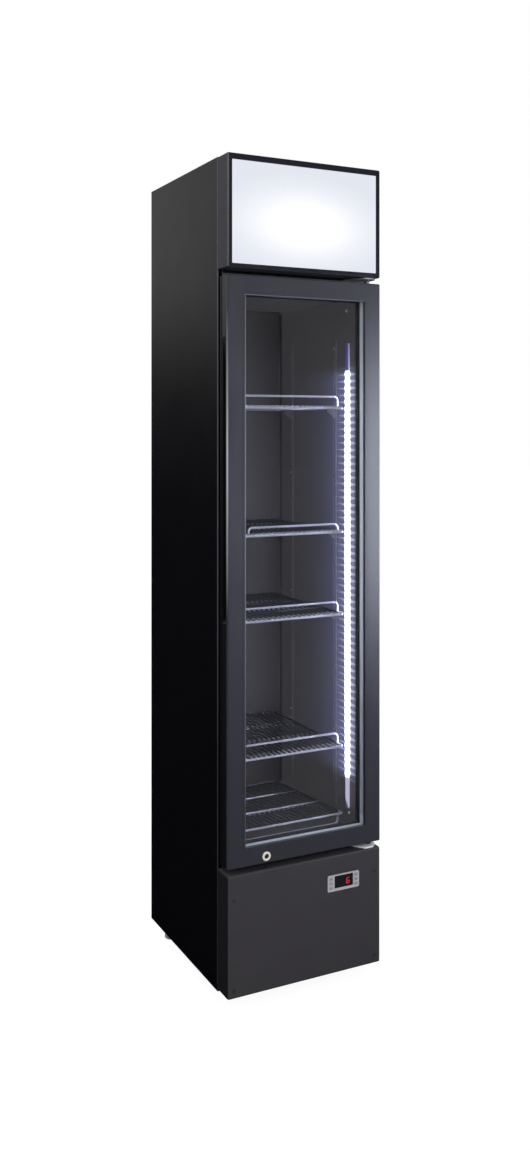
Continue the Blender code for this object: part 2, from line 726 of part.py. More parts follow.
def header_mount_plate(paint):
    """The sheet that closes the header's compartment and carries the upper hinge."""
    front = BEHIND_RETURN
    low = HEADER_LOW + SEAT_GAP
    outline = [(front, TOP - TOP_FOLD - SEAT_GAP), (front, low), (front + MOUNT_FOLD, low),
               (front + MOUNT_FOLD, low + SHEET), (front + SHEET, low + SHEET),
               (front + SHEET, TOP - TOP_FOLD - SEAT_GAP)]
    piece("header_mount_plate", prism(outline, 0, -INNER_X, INNER_X), paint)


def header_frame(paint):
    """The shell round the light panel, open at the rear, with a narrow bezel in front."""
    rear = CABINET - SEAT_GAP
    outer = rounded_block((-HALF, FRONT, HEADER_LOW), (HALF, rear + CUT_OVERRUN, TOP),
                          HEADER_CORNER_RADIUS, 2)
    behind = block((-WIDTH, rear, HEADER_LOW - CUT_OVERRUN),
                   (WIDTH, rear + FRONT_LAYER, TOP + CUT_OVERRUN))
    hollow = block((-HALF + HEADER_WALL, FRONT + HEADER_WALL, HEADER_LOW + HEADER_WALL),
                   (HALF - HEADER_WALL, rear + CUT_OVERRUN, TOP - HEADER_WALL))
    window = rounded_block((-HALF + HEADER_BEZEL_SIDE, FRONT - CUT_OVERRUN,
                            HEADER_LOW + HEADER_BEZEL_SIDE),
                           (HALF - HEADER_BEZEL_SIDE, FRONT + CUT_OVERRUN,
                            TOP - HEADER_BEZEL_TOP), LOCK_RING_BEVEL, 1, along=1)
    notch = hinge_leg_room(HEADER_LOW - CUT_OVERRUN, HEADER_LOW + HINGE_LEG)
    piece("header_frame", outer, paint, cuts=[behind, hollow, window, notch])


def header_light_panel(acrylic):
    """The opal sheet that lies behind the bezel."""
    inset = HEADER_WALL + SEAT_GAP
    front = FRONT + HEADER_WALL + SEAT_GAP
    sheet = block((-HALF + inset, front, HEADER_LOW + inset),
                  (HALF - inset, front + LIGHT_PANEL, TOP - inset))
    piece("header_light_panel", sheet, acrylic)


def tray_front():
    """The open front of the light tray, just behind the opal sheet."""
    return FRONT + HEADER_WALL + LIGHT_PANEL + SEAT_GAP * 2


def header_light_tray(white):
    """The white reflector tray behind the opal sheet."""
    inset = HEADER_WALL + SEAT_GAP
    low = HEADER_LOW + inset
    front, rear = tray_front(), tray_front() + TRAY_DEPTH
    shell = block((-HALF + inset, front, low), (HALF - inset, rear, TOP - inset))
    hollow = block((-HALF + inset + TRAY_WALL, front - CUT_OVERRUN, low + TRAY_WALL),
                   (HALF - inset - TRAY_WALL, rear - TRAY_WALL, TOP - inset - TRAY_WALL))
    piece("header_light_tray", shell, white, cuts=[hollow])


def header_led_board(white):
    """The board on the tray's back wall with two rows of light diodes."""
    rear = tray_front() + TRAY_DEPTH - TRAY_WALL - SEAT_GAP
    front = rear - LED_BOARD_THICK
    half = HALF - LED_BOARD_SIDE_INSET
    middle = (HEADER_LOW + TOP) / 2
    low, high = middle - LED_BOARD_HEIGHT / 2, middle + LED_BOARD_HEIGHT / 2
    board = block((-half, front, low), (half, rear, high))
    pitch = (2 * half - 2 * LED_ROW_INSET) / (LED_PER_ROW - 1)
    diodes = []
    for row in (low + LED_ROW_INSET, high - LED_ROW_INSET):
        for index in range(LED_PER_ROW):
            x = -half + LED_ROW_INSET + index * pitch
            diodes.append(block((x - LED_SIZE / 2, front - LED_HEIGHT, row - LED_SIZE / 2),
                                (x + LED_SIZE / 2, front + LED_BOARD_THICK / 2,
                                 row + LED_SIZE / 2)))
    piece("header_led_board", board, white, joins=[gathered(diodes)])


def led_driver(metal):
    """The boxed power supply on the foam in the header's compartment, with two ears."""
    width, depth, height = DRIVER_SIZE
    rear = BACK - DRIVER_FROM_BACK
    low = HEADER_LOW + SEAT_GAP
    box = rounded_block((-width / 2, rear - depth, low), (width / 2, rear, low + height),
                        HEADER_CORNER_RADIUS, 1)
    ears = block((-width / 2 - DRIVER_EAR, rear - depth + DRIVER_EAR, low),
                 (width / 2 + DRIVER_EAR, rear - DRIVER_EAR, low + DRIVER_EAR_THICK))
    piece("led_driver", box, metal, joins=[ears])


# Door

def door_frame(paint):
    """The rebated frame with its finger grip, hinge bores and lock pocket."""
    body = rounded_block((-HALF, FRONT, DOOR_BOTTOM), (HALF, DOOR_REAR, DOOR_TOP),
                         DOOR_CORNER_RADIUS, 1)
    opening = rounded_block((-GLASS_HALF, FRONT - CUT_OVERRUN, GLASS_LOW),
                            (GLASS_HALF, DOOR_REAR, GLASS_HIGH), DOOR_CORNER_RADIUS, 1,
                            along=1)
    rebate = block((-GLASS_HALF - DOOR_REBATE, FRONT + DOOR_FRONT_LIP,
                    GLASS_LOW - DOOR_REBATE),
                   (GLASS_HALF + DOOR_REBATE, DOOR_REAR + CUT_OVERRUN,
                    GLASS_HIGH + DOOR_REBATE))
    edge = -HALF
    slope = GRIP_DEPTH / GRIP_FADE
    over = CUT_OVERRUN / 4
    grip = prism([(edge - over, GRIP_TOP + over / slope),
                  (edge + GRIP_DEPTH, GRIP_FULL_TOP),
                  (edge + GRIP_DEPTH, GRIP_BOTTOM + GRIP_BOTTOM_RAMP),
                  (edge - over, GRIP_BOTTOM)],
                 1, FRONT + GRIP_FRONT_LIP, FRONT + GRIP_FRONT_LIP + GRIP_WIDTH)
    groove = block((edge - CUT_OVERRUN, FRONT + GRIP_FRONT_LIP - EDGE_GROOVE_DEPTH,
                    DOOR_BOTTOM - CUT_OVERRUN),
                   (edge + EDGE_GROOVE_DEPTH,
                    FRONT + GRIP_FRONT_LIP - EDGE_GROOVE_DEPTH + EDGE_GROOVE_WIDTH,
                    DOOR_TOP + CUT_OVERRUN))
    bores = []
    for start, end in ((DOOR_BOTTOM - CUT_OVERRUN, DOOR_BOTTOM + HINGE_PIN_REACH),
                       (DOOR_TOP - HINGE_PIN_REACH, DOOR_TOP + CUT_OVERRUN)):
        bores.append(rod(HINGE_PIN_RADIUS + HINGE_BORE_CLEARANCE, 2, (PIN_X, PIN_Y, 0),
                         start, end, ROUND_SIDES))
    barrel = rod(LOCK_BODY_RADIUS + SEAT_GAP, 1, (LOCK_X, 0, LOCK_Z), FRONT - CUT_OVERRUN,
                 CAM_Y + CAM_THICK, ROUND_SIDES)
    reach = CAM_REACH + CAM_POCKET_MARGIN
    pocket = block((LOCK_X - reach, CAM_Y - SEAT_GAP, DOOR_BOTTOM - CUT_OVERRUN),
                   (LOCK_X + CAM_HUB_RADIUS + CAM_POCKET_MARGIN,
                    CAM_Y - SEAT_GAP + CAM_POCKET_DEPTH,
                    LOCK_Z + CAM_HUB_RADIUS + CAM_POCKET_MARGIN / 2))
    piece("door_frame", body, paint,
          cuts=[opening, rebate, grip, groove, gathered(bores), barrel, pocket])


def glass_pane(name, front, glass):
    """One pane of the double glazing."""
    inset = DOOR_REBATE - SEAT_GAP
    pane = block((-GLASS_HALF - inset, front, GLASS_LOW - inset),
                 (GLASS_HALF + inset, front + GLASS, GLASS_HIGH + inset))
    piece(name, pane, glass)


def ring(margin_in, margin_out, front, rear):
    """A flat frame round the glass opening, as the outer block and its cutter."""
    outer = block((-GLASS_HALF - margin_out, front, GLASS_LOW - margin_out),
                  (GLASS_HALF + margin_out, rear, GLASS_HIGH + margin_out))
    inner = block((-GLASS_HALF - margin_in, front - CUT_OVERRUN, GLASS_LOW - margin_in),
                  (GLASS_HALF + margin_in, rear + CUT_OVERRUN, GLASS_HIGH + margin_in))
    return outer, inner


def glazing(glass, metal, plastic):
    """Two panes, the spacer between them and the bead that holds them from behind."""
    outer_front = FRONT + DOOR_FRONT_LIP + SEAT_GAP
    inner_front = outer_front + GLASS + GLASS_SPACE
    glass_pane("outer_glass", outer_front, glass)
    glass_pane("inner_glass", inner_front, glass)
    reach = DOOR_REBATE - SEAT_GAP
    body, hole = ring(reach - SPACER_WIDTH, reach, outer_front + GLASS + SEAT_GAP,
                      inner_front - SEAT_GAP)
    piece("glass_spacer", body, metal, cuts=[hole])
    body, hole = ring(0, reach, inner_front + GLASS + SEAT_GAP, DOOR_REAR)
    piece("glazing_bead", body, plastic, cuts=[hole])


def door_gasket(rubber):
    """The magnetic seal on the door's rear face, with a neck half way."""
    low, high = INSIDE_FLOOR - GASKET_GAP, INSIDE_CEILING + GASKET_GAP
    inner_x = INSIDE_HALF + GASKET_GAP
    front, rear = DOOR_REAR + SEAT_GAP, CABINET - SEAT_GAP
    third = (rear - front) / 3
    width = GASKET_WIDTH

    def slab(grow_out, grow_in, start, end):
        outer = block((-inner_x - grow_out, start, low - grow_out),
                      (inner_x + grow_out, end, high + grow_out))
        inner = block((-inner_x - grow_in, start - CUT_OVERRUN, low - grow_in),
                      (inner_x + grow_in, end + CUT_OVERRUN, high + grow_in))
        return outer, inner
    body, hole = slab(width, 0, front, rear)
    groove, keep = slab(width + CUT_OVERRUN, width - GASKET_NECK, front + third, rear - third)
    piece("door_gasket", body, rubber, cuts=[hole, without(groove, keep)])


# Hinges

def hinge_leg_room(low, high):
    """The room that a hinge's leg needs between the front layer and the cabinet."""
    return block((HALF - HINGE_ARM_LEFT - HINGE_SLOT_MARGIN,
                  BEHIND_RETURN - SEAT_GAP - HINGE_PLATE - HINGE_SLOT_MARGIN, low),
                 (HALF - HINGE_LEG_INSET + HINGE_SLOT_MARGIN, CABINET + CUT_OVERRUN, high))


def hinge_plate(name, level, door_edge, metal):
    """A hinge plate with its leg against the cabinet and its pin towards the door."""
    way = 1 if door_edge > level else -1
    rear = BEHIND_RETURN - SEAT_GAP
    left, right = HALF - HINGE_ARM_LEFT, HALF - HINGE_RIGHT_INSET
    leg_right = HALF - HINGE_LEG_INSET
    nose = FRONT + HINGE_FRONT_INSET
    outline = [(left, rear), (left, rear - HINGE_ARM_WIDTH),
               (HALF - HINGE_NOSE_LEFT, nose), (right - HINGE_NOSE_CHAMFER, nose),
               (right, nose + HINGE_NOSE_CHAMFER), (right, CABINET - HINGE_PLATE),
               (leg_right, CABINET - HINGE_PLATE), (leg_right, rear)]
    far = level + way * HINGE_PLATE
    plate = prism(outline, 2, min(level, far), max(level, far))
    leg_end = level - way * HINGE_LEG
    leg = block((left, rear - HINGE_PLATE, min(leg_end, far)),
                (leg_right, rear, max(leg_end, far)))
    tip = door_edge + way * (HINGE_PIN_REACH - HINGE_PIN_END_GAP)
    pin = rod(HINGE_PIN_RADIUS, 2, (PIN_X, PIN_Y, 0), min(level + way * SHEET, tip),
              max(level + way * SHEET, tip), ROUND_SIDES)
    piece(name, plate, metal, joins=[leg, pin])


def hinge_spacer(plastic):
    """The nylon ring that the door stands on, round the lower pin."""
    low = COVER_TOP + SEAT_GAP + HINGE_PLATE + SEAT_GAP
    profile = [(HINGE_PIN_RADIUS + HINGE_BORE_CLEARANCE, low),
               (SPACER_RING_RADIUS, low), (SPACER_RING_RADIUS, DOOR_BOTTOM - SEAT_GAP),
               (HINGE_PIN_RADIUS + HINGE_BORE_CLEARANCE, DOOR_BOTTOM - SEAT_GAP)]
    piece("hinge_spacer", turned(profile, 2, (PIN_X, PIN_Y, 0), ROUND_SIDES), plastic,
          pivot=(PIN_X, PIN_Y, low))


# Lock

def lock(metal, steel):
    """The lock's body in the door, and the plug and the hooked cam that turn in it."""
    centre = (LOCK_X, 0, LOCK_Z)
    seat = FRONT - SEAT_GAP
    bevel = LOCK_RING_BEVEL
    front = FRONT - LOCK_PROUD
    hollow = LOCK_PLUG_RADIUS + SEAT_GAP
    profile = [(hollow, front + bevel), (hollow + bevel, front),
               (LOCK_RING_RADIUS - bevel, front), (LOCK_RING_RADIUS, front + bevel),
               (LOCK_RING_RADIUS, seat), (LOCK_BODY_RADIUS, seat),
               (LOCK_BODY_RADIUS, FRONT + LOCK_BODY_LENGTH - SEAT_GAP),
               (hollow, FRONT + LOCK_BODY_LENGTH - SEAT_GAP)]
    piece("lock_body", turned(profile, 1, centre, ROUND_SIDES), metal,
          pivot=(LOCK_X, seat, LOCK_Z))
    face = front + LOCK_PLUG_SUNK
    plug = rod(LOCK_PLUG_RADIUS, 1, centre, face, CAM_Y - SEAT_GAP, ROUND_SIDES)
    width, height = KEYWAY
    keyway = block((LOCK_X - width / 2, face - CUT_OVERRUN, LOCK_Z - height / 2),
                   (LOCK_X + width / 2, face + KEYWAY_DEPTH, LOCK_Z + height / 2))
    piece("lock_plug", plug, steel, cuts=[keyway], pivot=(LOCK_X, face, LOCK_Z))
    hub = rod(CAM_HUB_RADIUS, 1, centre, CAM_Y, CAM_Y + CAM_THICK, SMALL_SIDES)
    half = CAM_ARM_WIDTH / 2
    tip = LOCK_X - CAM_REACH
    outline = [(LOCK_X, LOCK_Z + half), (tip, LOCK_Z + half), (tip, LOCK_Z - CAM_HOOK_DROP),
               (tip + CAM_HOOK_WIDTH, LOCK_Z - CAM_HOOK_DROP),
               (tip + CAM_HOOK_WIDTH, LOCK_Z - half), (LOCK_X, LOCK_Z - half)]
    arm = prism(outline, 1, CAM_Y, CAM_Y + CAM_THICK)
    piece("lock_cam", hub, steel, joins=[arm], pivot=(LOCK_X, CAM_Y, LOCK_Z))


# Base cover and controller

def controller_box(size, front, rear):
    """A box centred on the controller's place, between two depths."""
    width, height = size
    return ((CONTROLLER_X - width / 2, front, CONTROLLER_Z - height / 2),
            (CONTROLLER_X + width / 2, rear, CONTROLLER_Z + height / 2))


def base_cover(paint):
    """The folded cover in front of the machine compartment."""
    rear = CABINET - SEAT_GAP
    outer = rounded_block((-HALF, FRONT, COVER_LOW),
                          (HALF, rear + COVER_CORNER_RADIUS * 2, COVER_TOP),
                          COVER_CORNER_RADIUS, 2)
    behind = block((-WIDTH, rear, COVER_LOW - CUT_OVERRUN),
                   (WIDTH, rear + FRONT_LAYER, COVER_TOP + CUT_OVERRUN))
    hollow = rounded_block((-HALF + COVER_SHEET, FRONT + COVER_SHEET, COVER_LOW + COVER_SHEET),
                           (HALF - COVER_SHEET, rear + COVER_CORNER_RADIUS * 2,
                            COVER_TOP - COVER_SHEET), COVER_CORNER_RADIUS - COVER_SHEET, 2)
    beneath = block((-HALF + COVER_BOTTOM_FOLD, FRONT + COVER_BOTTOM_FOLD,
                     COVER_LOW - CUT_OVERRUN),
                    (HALF - COVER_BOTTOM_FOLD, rear + CUT_OVERRUN, COVER_LOW + CUT_OVERRUN))
    low, high = controller_box(CONTROLLER_BODY, FRONT - CUT_OVERRUN, FRONT + CUT_OVERRUN)
    grow = Vector((CONTROLLER_CUT_GAP, 0, CONTROLLER_CUT_GAP))
    panel_cut = block(Vector(low) - grow, Vector(high) + grow)
    slot = block((LOCK_X - CAM_SLOT_REACH, CAM_Y - CAM_SLOT_MARGIN, COVER_TOP - CUT_OVERRUN),
                 (LOCK_X + CAM_ARM_WIDTH / 2 + CAM_SLOT_MARGIN,
                  CAM_Y + CAM_THICK + CAM_SLOT_MARGIN, COVER_TOP + CUT_OVERRUN))
    notch = hinge_leg_room(COVER_TOP - HINGE_LEG, COVER_TOP + CUT_OVERRUN)
    piece("base_cover", outer, paint, cuts=[behind, hollow, beneath, panel_cut, slot, notch])


def key_places():
    """The centres of the six keys, three on each side of the window."""
    return [(CONTROLLER_X + side * KEY_COLUMN, CONTROLLER_Z + row * KEY_PITCH)
            for side in (-1, 1) for row in (1, 0, -1)]


def key_block(x, z, grow, front, rear):
    """A key's shape, or the room round it when it is grown."""
    width, height = KEY_SIZE
    return rounded_block((x - width / 2 - grow, front, z - height / 2 - grow),
                         (x + width / 2 + grow, rear, z + height / 2 + grow),
                         KEY_CORNER_RADIUS, 2, along=1)


def bezel_front():
    """The front face of the controller's bezel."""
    return FRONT - SEAT_GAP - CONTROLLER_BEZEL_THICK


def controller(plastic, dark, grey):
    """The controller's case, its window and its six sprung keys."""
    front = bezel_front()
    body = rounded_block(*controller_box(CONTROLLER_BODY, front + SHEET,
                                         front + CONTROLLER_DEPTH), LOCK_RING_BEVEL, 1)
    bezel = rounded_block(*controller_box(CONTROLLER_BEZEL, front, FRONT - SEAT_GAP),
                          CONTROLLER_CORNER_RADIUS, 3, along=1)
    width, height = WINDOW_SIZE
    x, z = CONTROLLER_X + WINDOW_OFFSET[0], CONTROLLER_Z + WINDOW_OFFSET[1]
    gap = SEAT_GAP
    recess = block((x - width / 2 - gap, front - CUT_OVERRUN, z - height / 2 - gap),
                   (x + width / 2 + gap, front + WINDOW_SUNK + WINDOW_THICK + gap,
                    z + height / 2 + gap))
    depth = KEY_THICK - KEY_PROUD + KEY_TRAVEL + gap * 2
    rooms = gathered([key_block(x_key, z_key, gap, front - CUT_OVERRUN, front + depth)
                      for x_key, z_key in key_places()])
    piece("controller_case", bezel, plastic, joins=[body], cuts=[recess, rooms])
    pane = block((x - width / 2, front + WINDOW_SUNK, z - height / 2),
                 (x + width / 2, front + WINDOW_SUNK + WINDOW_THICK, z + height / 2))
    piece("controller_window", pane, dark)
    for index, (x_key, z_key) in enumerate(key_places(), start=1):
        face = front - KEY_PROUD
        piece("controller_key_%d" % index,
              key_block(x_key, z_key, 0, face, face + KEY_THICK), grey,
              pivot=(x_key, face, z_key))


# Shelves

def thin_rise():
    """How far the thin wires' centres lie above those of the cross wires."""
    flat = CROSS_WIRE_RADIUS * math.cos(math.pi / WIRE_SIDES)
    return flat + THIN_WIRE_RADIUS - WIRE_BITE


def shelf_shapes(left_wires, right_wires, fence_height):
    """The wires of a shelf at level 0: frame, cross wires, thin wires and fence."""
    start, last = SHELF_FRONT, SHELF_REAR
    pitch = (last - start) / (SHELF_CROSS_COUNT - 1)
    edge = SHELF_HALF - CROSS_WIRE_RADIUS
    corners = [(-edge, start, 0), (edge, start, 0), (edge, last, 0), (-edge, last, 0)]
    loop = []
    for index, corner in enumerate(corners):
        loop += bend(corner, corners[index - 1], corners[(index + 1) % len(corners)],
                     FRAME_CORNER_RADIUS, 2)
    frame = wire(loop, CROSS_WIRE_RADIUS, WIRE_SIDES, normal=(0, 0, 1), closed=True)
    cross = []
    for index in range(1, SHELF_CROSS_COUNT - 1):
        y = start + index * pitch
        low = -WIRE_BITE - SEAT_GAP
        cross.append(wire([(-edge, y, low), (edge, y, low)], CROSS_WIRE_RADIUS, WIRE_SIDES,
                          normal=(0, 0, 1)))
    rise = thin_rise()
    thin = []
    for index in range(-WIRES_EACH_SIDE, WIRES_EACH_SIDE + 1):
        x = index * THIN_WIRE_PITCH
        bar = block((x - THIN_WIRE_RADIUS, start, rise - THIN_WIRE_RADIUS),
                    (x + THIN_WIRE_RADIUS, last, rise + THIN_WIRE_RADIUS))
        thin.append(bar)
    left, right = left_wires * THIN_WIRE_PITCH, right_wires * THIN_WIRE_PITCH
    y = start + FENCE_SETBACK
    radius = FENCE_CORNER_RADIUS
    points = [(left, y, rise)]
    points += bend((left, y, fence_height), (left, y, 0), (right, y, fence_height), radius, 2)
    points += bend((right, y, fence_height), (left, y, fence_height), (right, y, 0), radius, 2)
    points.append((right, y, rise))
    fence = wire(points, FENCE_RADIUS, WIRE_SIDES, normal=(0, 1, 0))
    return frame, gathered(cross), gathered(thin), fence


def shelves(chrome):
    """Four wire shelves on their clips, and one turned over on the liner's floor."""
    kinds = [(-WIRES_EACH_SIDE, WIRES_EACH_SIDE, FENCE_HEIGHT)] * len(CLIP_LEVELS)
    kinds[2] = (FENCE_WIRES_SHORT - WIRES_EACH_SIDE, WIRES_EACH_SIDE, FENCE_LOW_HEIGHT)
    for index, (level, kind) in enumerate(zip(CLIP_LEVELS, kinds), start=1):
        shapes = shelf_shapes(*kind)
        for shape in shapes:
            bmesh.ops.translate(shape, vec=(0, 0, level), verts=shape.verts)
        piece("shelf_%d" % index, shapes[0], chrome, joins=shapes[1:])
    front_drop = FENCE_HEIGHT + FENCE_RADIUS
    rear_drop = thin_rise() + THIN_WIRE_RADIUS
    rear = SHELF_REAR
    lever = rear - SHELF_FRONT - FENCE_SETBACK
    tilt = math.atan2(front_drop - rear_drop, lever)
    rise = rear_drop * math.cos(tilt)
    turn = (Matrix.Translation((0, rear, INSIDE_FLOOR + rise + SEAT_GAP))
            @ Matrix.Rotation(-tilt, 4, "X") @ Matrix.Rotation(math.pi, 4, "Y")
            @ Matrix.Translation((0, -rear, 0)))
    shapes = shelf_shapes(*kinds[0])
    rack = piece("bottom_rack", shapes[0], chrome, joins=shapes[1:])
    rack.data.transform(turn)


def shelf_support(name, side, middle, plastic):
    """An upright strip on a side wall with the clips that carry the shelves."""
    wall = INSIDE_HALF - SEAT_GAP
    face = wall - UPRIGHT_THICK
    low, high = UPRIGHT_BOTTOM, UPRIGHT_TOP
    half = UPRIGHT_WIDTH / 2
    groove = UPRIGHT_SLOT_WIDTH / 2
    deep = face + UPRIGHT_GROOVE_DEPTH
    outline = [(wall, middle - half), (face, middle - half), (face, middle - groove),
               (deep, middle - groove), (deep, middle + groove), (face, middle + groove),
               (face, middle + half), (wall, middle + half)]
    strip = prism([(side * x, y) for x, y in outline], 2, low, high)
    drop = CROSS_WIRE_RADIUS * math.cos(math.pi / WIRE_SIDES) + SEAT_GAP
    clips = []
    for level in CLIP_LEVELS:
        top = level - drop
        tip = wall - CLIP_REACH
        wedge = [(wall - SEAT_GAP, top), (tip, top), (tip, top - CLIP_TIP),
                 (wall - SEAT_GAP, top - CLIP_DROP)]
        clips.append(prism([(side * x, z) for x, z in wedge], 1,
                           middle - CLIP_WIDTH / 2, middle + CLIP_WIDTH / 2))
    piece(name, strip, plastic, joins=[gathered(clips)])


# Light bar

def light_bar(metal, board_white, glow):
    """The channel on the right wall, the diode strip in it and its clear cover."""
    wall = INSIDE_HALF - SEAT_GAP
    near = CABINET + BAR_FROM_CABINET
    far = near + BAR_WIDTH
    low, high = BAR_BOTTOM, BAR_TOP
    base = wall - BAR_WALL
    lip = wall - BAR_LIP
    outline = [(wall, near), (lip, near), (lip, near + BAR_WALL), (base, near + BAR_WALL),
               (base, far - BAR_WALL), (lip, far - BAR_WALL), (lip, far), (wall, far)]
    piece("light_bar_channel", prism(outline, 2, low, high), metal)
    gap = BAR_WALL + BAR_BOARD_SIDE_GAP
    board = block((base - SEAT_GAP - BAR_BOARD_THICK, near + gap, low + BAR_DARK_LOW_END),
                  (base - SEAT_GAP, far - gap, high - BAR_DARK_HIGH_END))
    piece("light_bar_strip", board, board_white)
    seat = lip - SEAT_GAP
    rise = BAR_PROUD - BAR_LIP - SEAT_GAP
    half = BAR_WIDTH / 2
    dome = []
    for step in range(BAR_COVER_SIDES + 1):
        angle = math.pi * step / BAR_COVER_SIDES
        dome.append((seat - rise * math.sin(angle), near + half - half * math.cos(angle)))
    piece("light_bar_cover", prism(dome, 2, low, high), glow)


# Machine compartment

def feet_places():
    """The four feet: name, x and y."""
    front, rear = CABINET + FRONT_FOOT_FROM_CABINET, BACK - REAR_FOOT_FROM_BACK
    return [("foot_front_left", -FRONT_FOOT_X, front), ("foot_front_right", FRONT_FOOT_X, front),
            ("foot_rear_left", -REAR_FOOT_X, rear), ("foot_rear_right", REAR_FOOT_X, rear)]


def base_pan(paint):
    """The folded steel pan that carries the compressor and the feet."""
    front, rear = BEHIND_RETURN, BEFORE_BACK
    low = BOTTOM + PAN_LIFT
    outer = block((-INNER_X, front, low), (INNER_X, rear, low + PAN_FOLD))
    hollow = block((-INNER_X + PAN_SHEET, front + PAN_SHEET, low + PAN_SHEET),
                   (INNER_X - PAN_SHEET, rear - PAN_SHEET, low + PAN_FOLD + CUT_OVERRUN))
    holes = [rod(FOOT_STEM_RADIUS + FOOT_HOLE_CLEARANCE, 2, (x, y, 0), low - CUT_OVERRUN,
                 low + CUT_OVERRUN, SMALL_SIDES) for name, x, y in feet_places()]
    piece("base_pan", outer, paint, cuts=[hollow, gathered(holes)])


def foot(name, x, y, rubber):
    """A levelling foot: a wide pad, a neck and the threaded stem above it."""
    pad = FOOT_HEIGHT * FOOT_PAD_SHARE
    shoulder = BOTTOM + PAN_LIFT - SEAT_GAP
    profile = [(0, 0), (FOOT_RADIUS - FOOT_FLAT_BEVEL, 0), (FOOT_RADIUS, FOOT_FLAT_BEVEL),
               (FOOT_RADIUS, pad), (FOOT_NECK_RADIUS, pad * 2), (FOOT_NECK_RADIUS, shoulder),
               (FOOT_STEM_RADIUS, shoulder), (FOOT_STEM_RADIUS, shoulder + FOOT_STEM),
               (0, shoulder + FOOT_STEM)]
    piece(name, turned(profile, 2, (x, y, 0), ROUND_SIDES), rubber, pivot=(x, y, 0))


def compressor_base():
    """The level of the compressor pot's underside, in its foot plate."""
    return PAN_TOP + COMPRESSOR_BOOT + SEAT_GAP + COMPRESSOR_PLATE[2] / 2


def pot_reach(offset):
    """How far the pot's wall lies behind its middle, at an offset along X."""
    radius = COMPRESSOR_RADII[2]
    return COMPRESSOR_SQUASH_SHARE * math.sqrt(radius ** 2 - offset ** 2)


def compressor(black):
    """The sealed motor compressor on its foot plate, with its relay box."""
    y = COMPRESSOR_Y
    length, width, thick = COMPRESSOR_PLATE
    base = compressor_base()
    low = base - thick / 2
    plate = rounded_block((COMPRESSOR_X - length / 2, y - width / 2, low),
                          (COMPRESSOR_X + length / 2, y + width / 2, low + thick),
                          COMPRESSOR_BOOT_RADIUS, 2, along=2)
    profile = [(0, base)]
    profile += [(radius, base + level)
                for radius, level in zip(COMPRESSOR_RADII, COMPRESSOR_LEVELS)]
    profile.append((0, base + COMPRESSOR_CROWN))
    pot = turned(profile, 2, (0, 0, 0), COMPRESSOR_SIDES)
    bmesh.ops.scale(pot, vec=(1, COMPRESSOR_SQUASH_SHARE, 1), verts=pot.verts)
    bmesh.ops.translate(pot, vec=(COMPRESSOR_X, y, 0), verts=pot.verts)
    long, deep, high = RELAY_BOX
    front = y - max(COMPRESSOR_RADII) * COMPRESSOR_SQUASH_SHARE + RELAY_SINK
    relay = rounded_block((COMPRESSOR_X - long / 2, front - deep, base + RELAY_LEVEL),
                          (COMPRESSOR_X + long / 2, front, base + RELAY_LEVEL + high),
                          COVER_CORNER_RADIUS, 2)
    boots = []
    for side in (-1, 1):
        for way in (-1, 1):
            spot = (COMPRESSOR_X + side * (length / 2 - COMPRESSOR_BOOT_INSET),
                    y + way * (width / 2 - COMPRESSOR_BOOT_INSET), 0)
            boots.append(rod(COMPRESSOR_BOOT_RADIUS, 2, spot, PAN_TOP + SEAT_GAP,
                             low + thick / 2, SMALL_SIDES))
    piece("compressor", plate, black, joins=[pot, relay, gathered(boots)])


def condenser_box():
    """The corners of the condenser's fin block."""
    rear = BACK - CONDENSER_FROM_BACK
    low = PAN_TOP + SEAT_GAP + CONDENSER_FOOT
    return ((CONDENSER_LEFT, rear - CONDENSER_DEPTH, low),
            (CONDENSER_RIGHT, rear, low + CONDENSER_HEIGHT))


def condenser(metal):
    """A block of fins on tubes that bend round at its ends, on two feet."""
    low, high = condenser_box()
    body = block(low, high)
    pitch = (high[0] - low[0]) / CONDENSER_FINS
    slot = pitch * (1 - CONDENSER_FIN_SHARE)
    margin = CONDENSER_SLOT_MARGIN
    slots = []
    for index in range(CONDENSER_FINS):
        x = low[0] + (index + 0.5) * pitch
        for front, rear in ((low[1] - CUT_OVERRUN, low[1] + margin),
                            (high[1] - margin, high[1] + CUT_OVERRUN)):
            slots.append(block((x - slot / 2, front, low[2] + margin / 2),
                               (x + slot / 2, rear, high[2] - margin / 2)))
    radius = CONDENSER_BEND_RADIUS
    step = (high[2] - low[2]) / (CONDENSER_BENDS + 1)
    bends = []
    middle = (low[1] + high[1]) / 2
    for side, edge, share in zip((-1, 1), (low[0], high[0]), CONDENSER_BEND_START_SHARES):
        for index in range(CONDENSER_BENDS):
            z = low[2] + (index + share) * step
            bends.append(wire([(edge - side * radius, middle - step / 3, z),
                               (edge + side * (CONDENSER_BEND_REACH - radius),
                                middle - step / 3, z),
                               (edge + side * CONDENSER_BEND_REACH, middle, z),
                               (edge + side * (CONDENSER_BEND_REACH - radius),
                                middle + step / 3, z),
                               (edge - side * radius, middle + step / 3, z)],
                              radius, WIRE_SIDES))
    feet = [block((left, low[1], PAN_TOP + SEAT_GAP),
                  (left + CONDENSER_FOOT_WIDTH, high[1], low[2] + margin / 4))
            for left in (low[0], high[0] - CONDENSER_FOOT_WIDTH)]
    start = (COMPRESSOR_X + COMPRESSOR_RADII[2] + SEAT_GAP, COMPRESSOR_Y,
             compressor_base() + SUCTION_LEVEL)
    x, top = low[0] - DISCHARGE_FROM_CONDENSER, high[2] - step / 2
    first, second, third = (x, start[1], start[2]), (x, start[1], top), (x, middle, top)
    end = (low[0] + radius, middle, top)
    points = [start]
    points += bend(first, start, second, TUBE_BEND / 2, 2)
    points += bend(second, first, third, TUBE_BEND, 2)
    points += bend(third, second, end, TUBE_BEND, 2)
    points.append(end)
    discharge = wire(points, TUBE_RADIUS, SMALL_SIDES)
    piece("condenser", body, metal, joins=[gathered(bends), gathered(feet), discharge],
          cuts=[gathered(slots)])


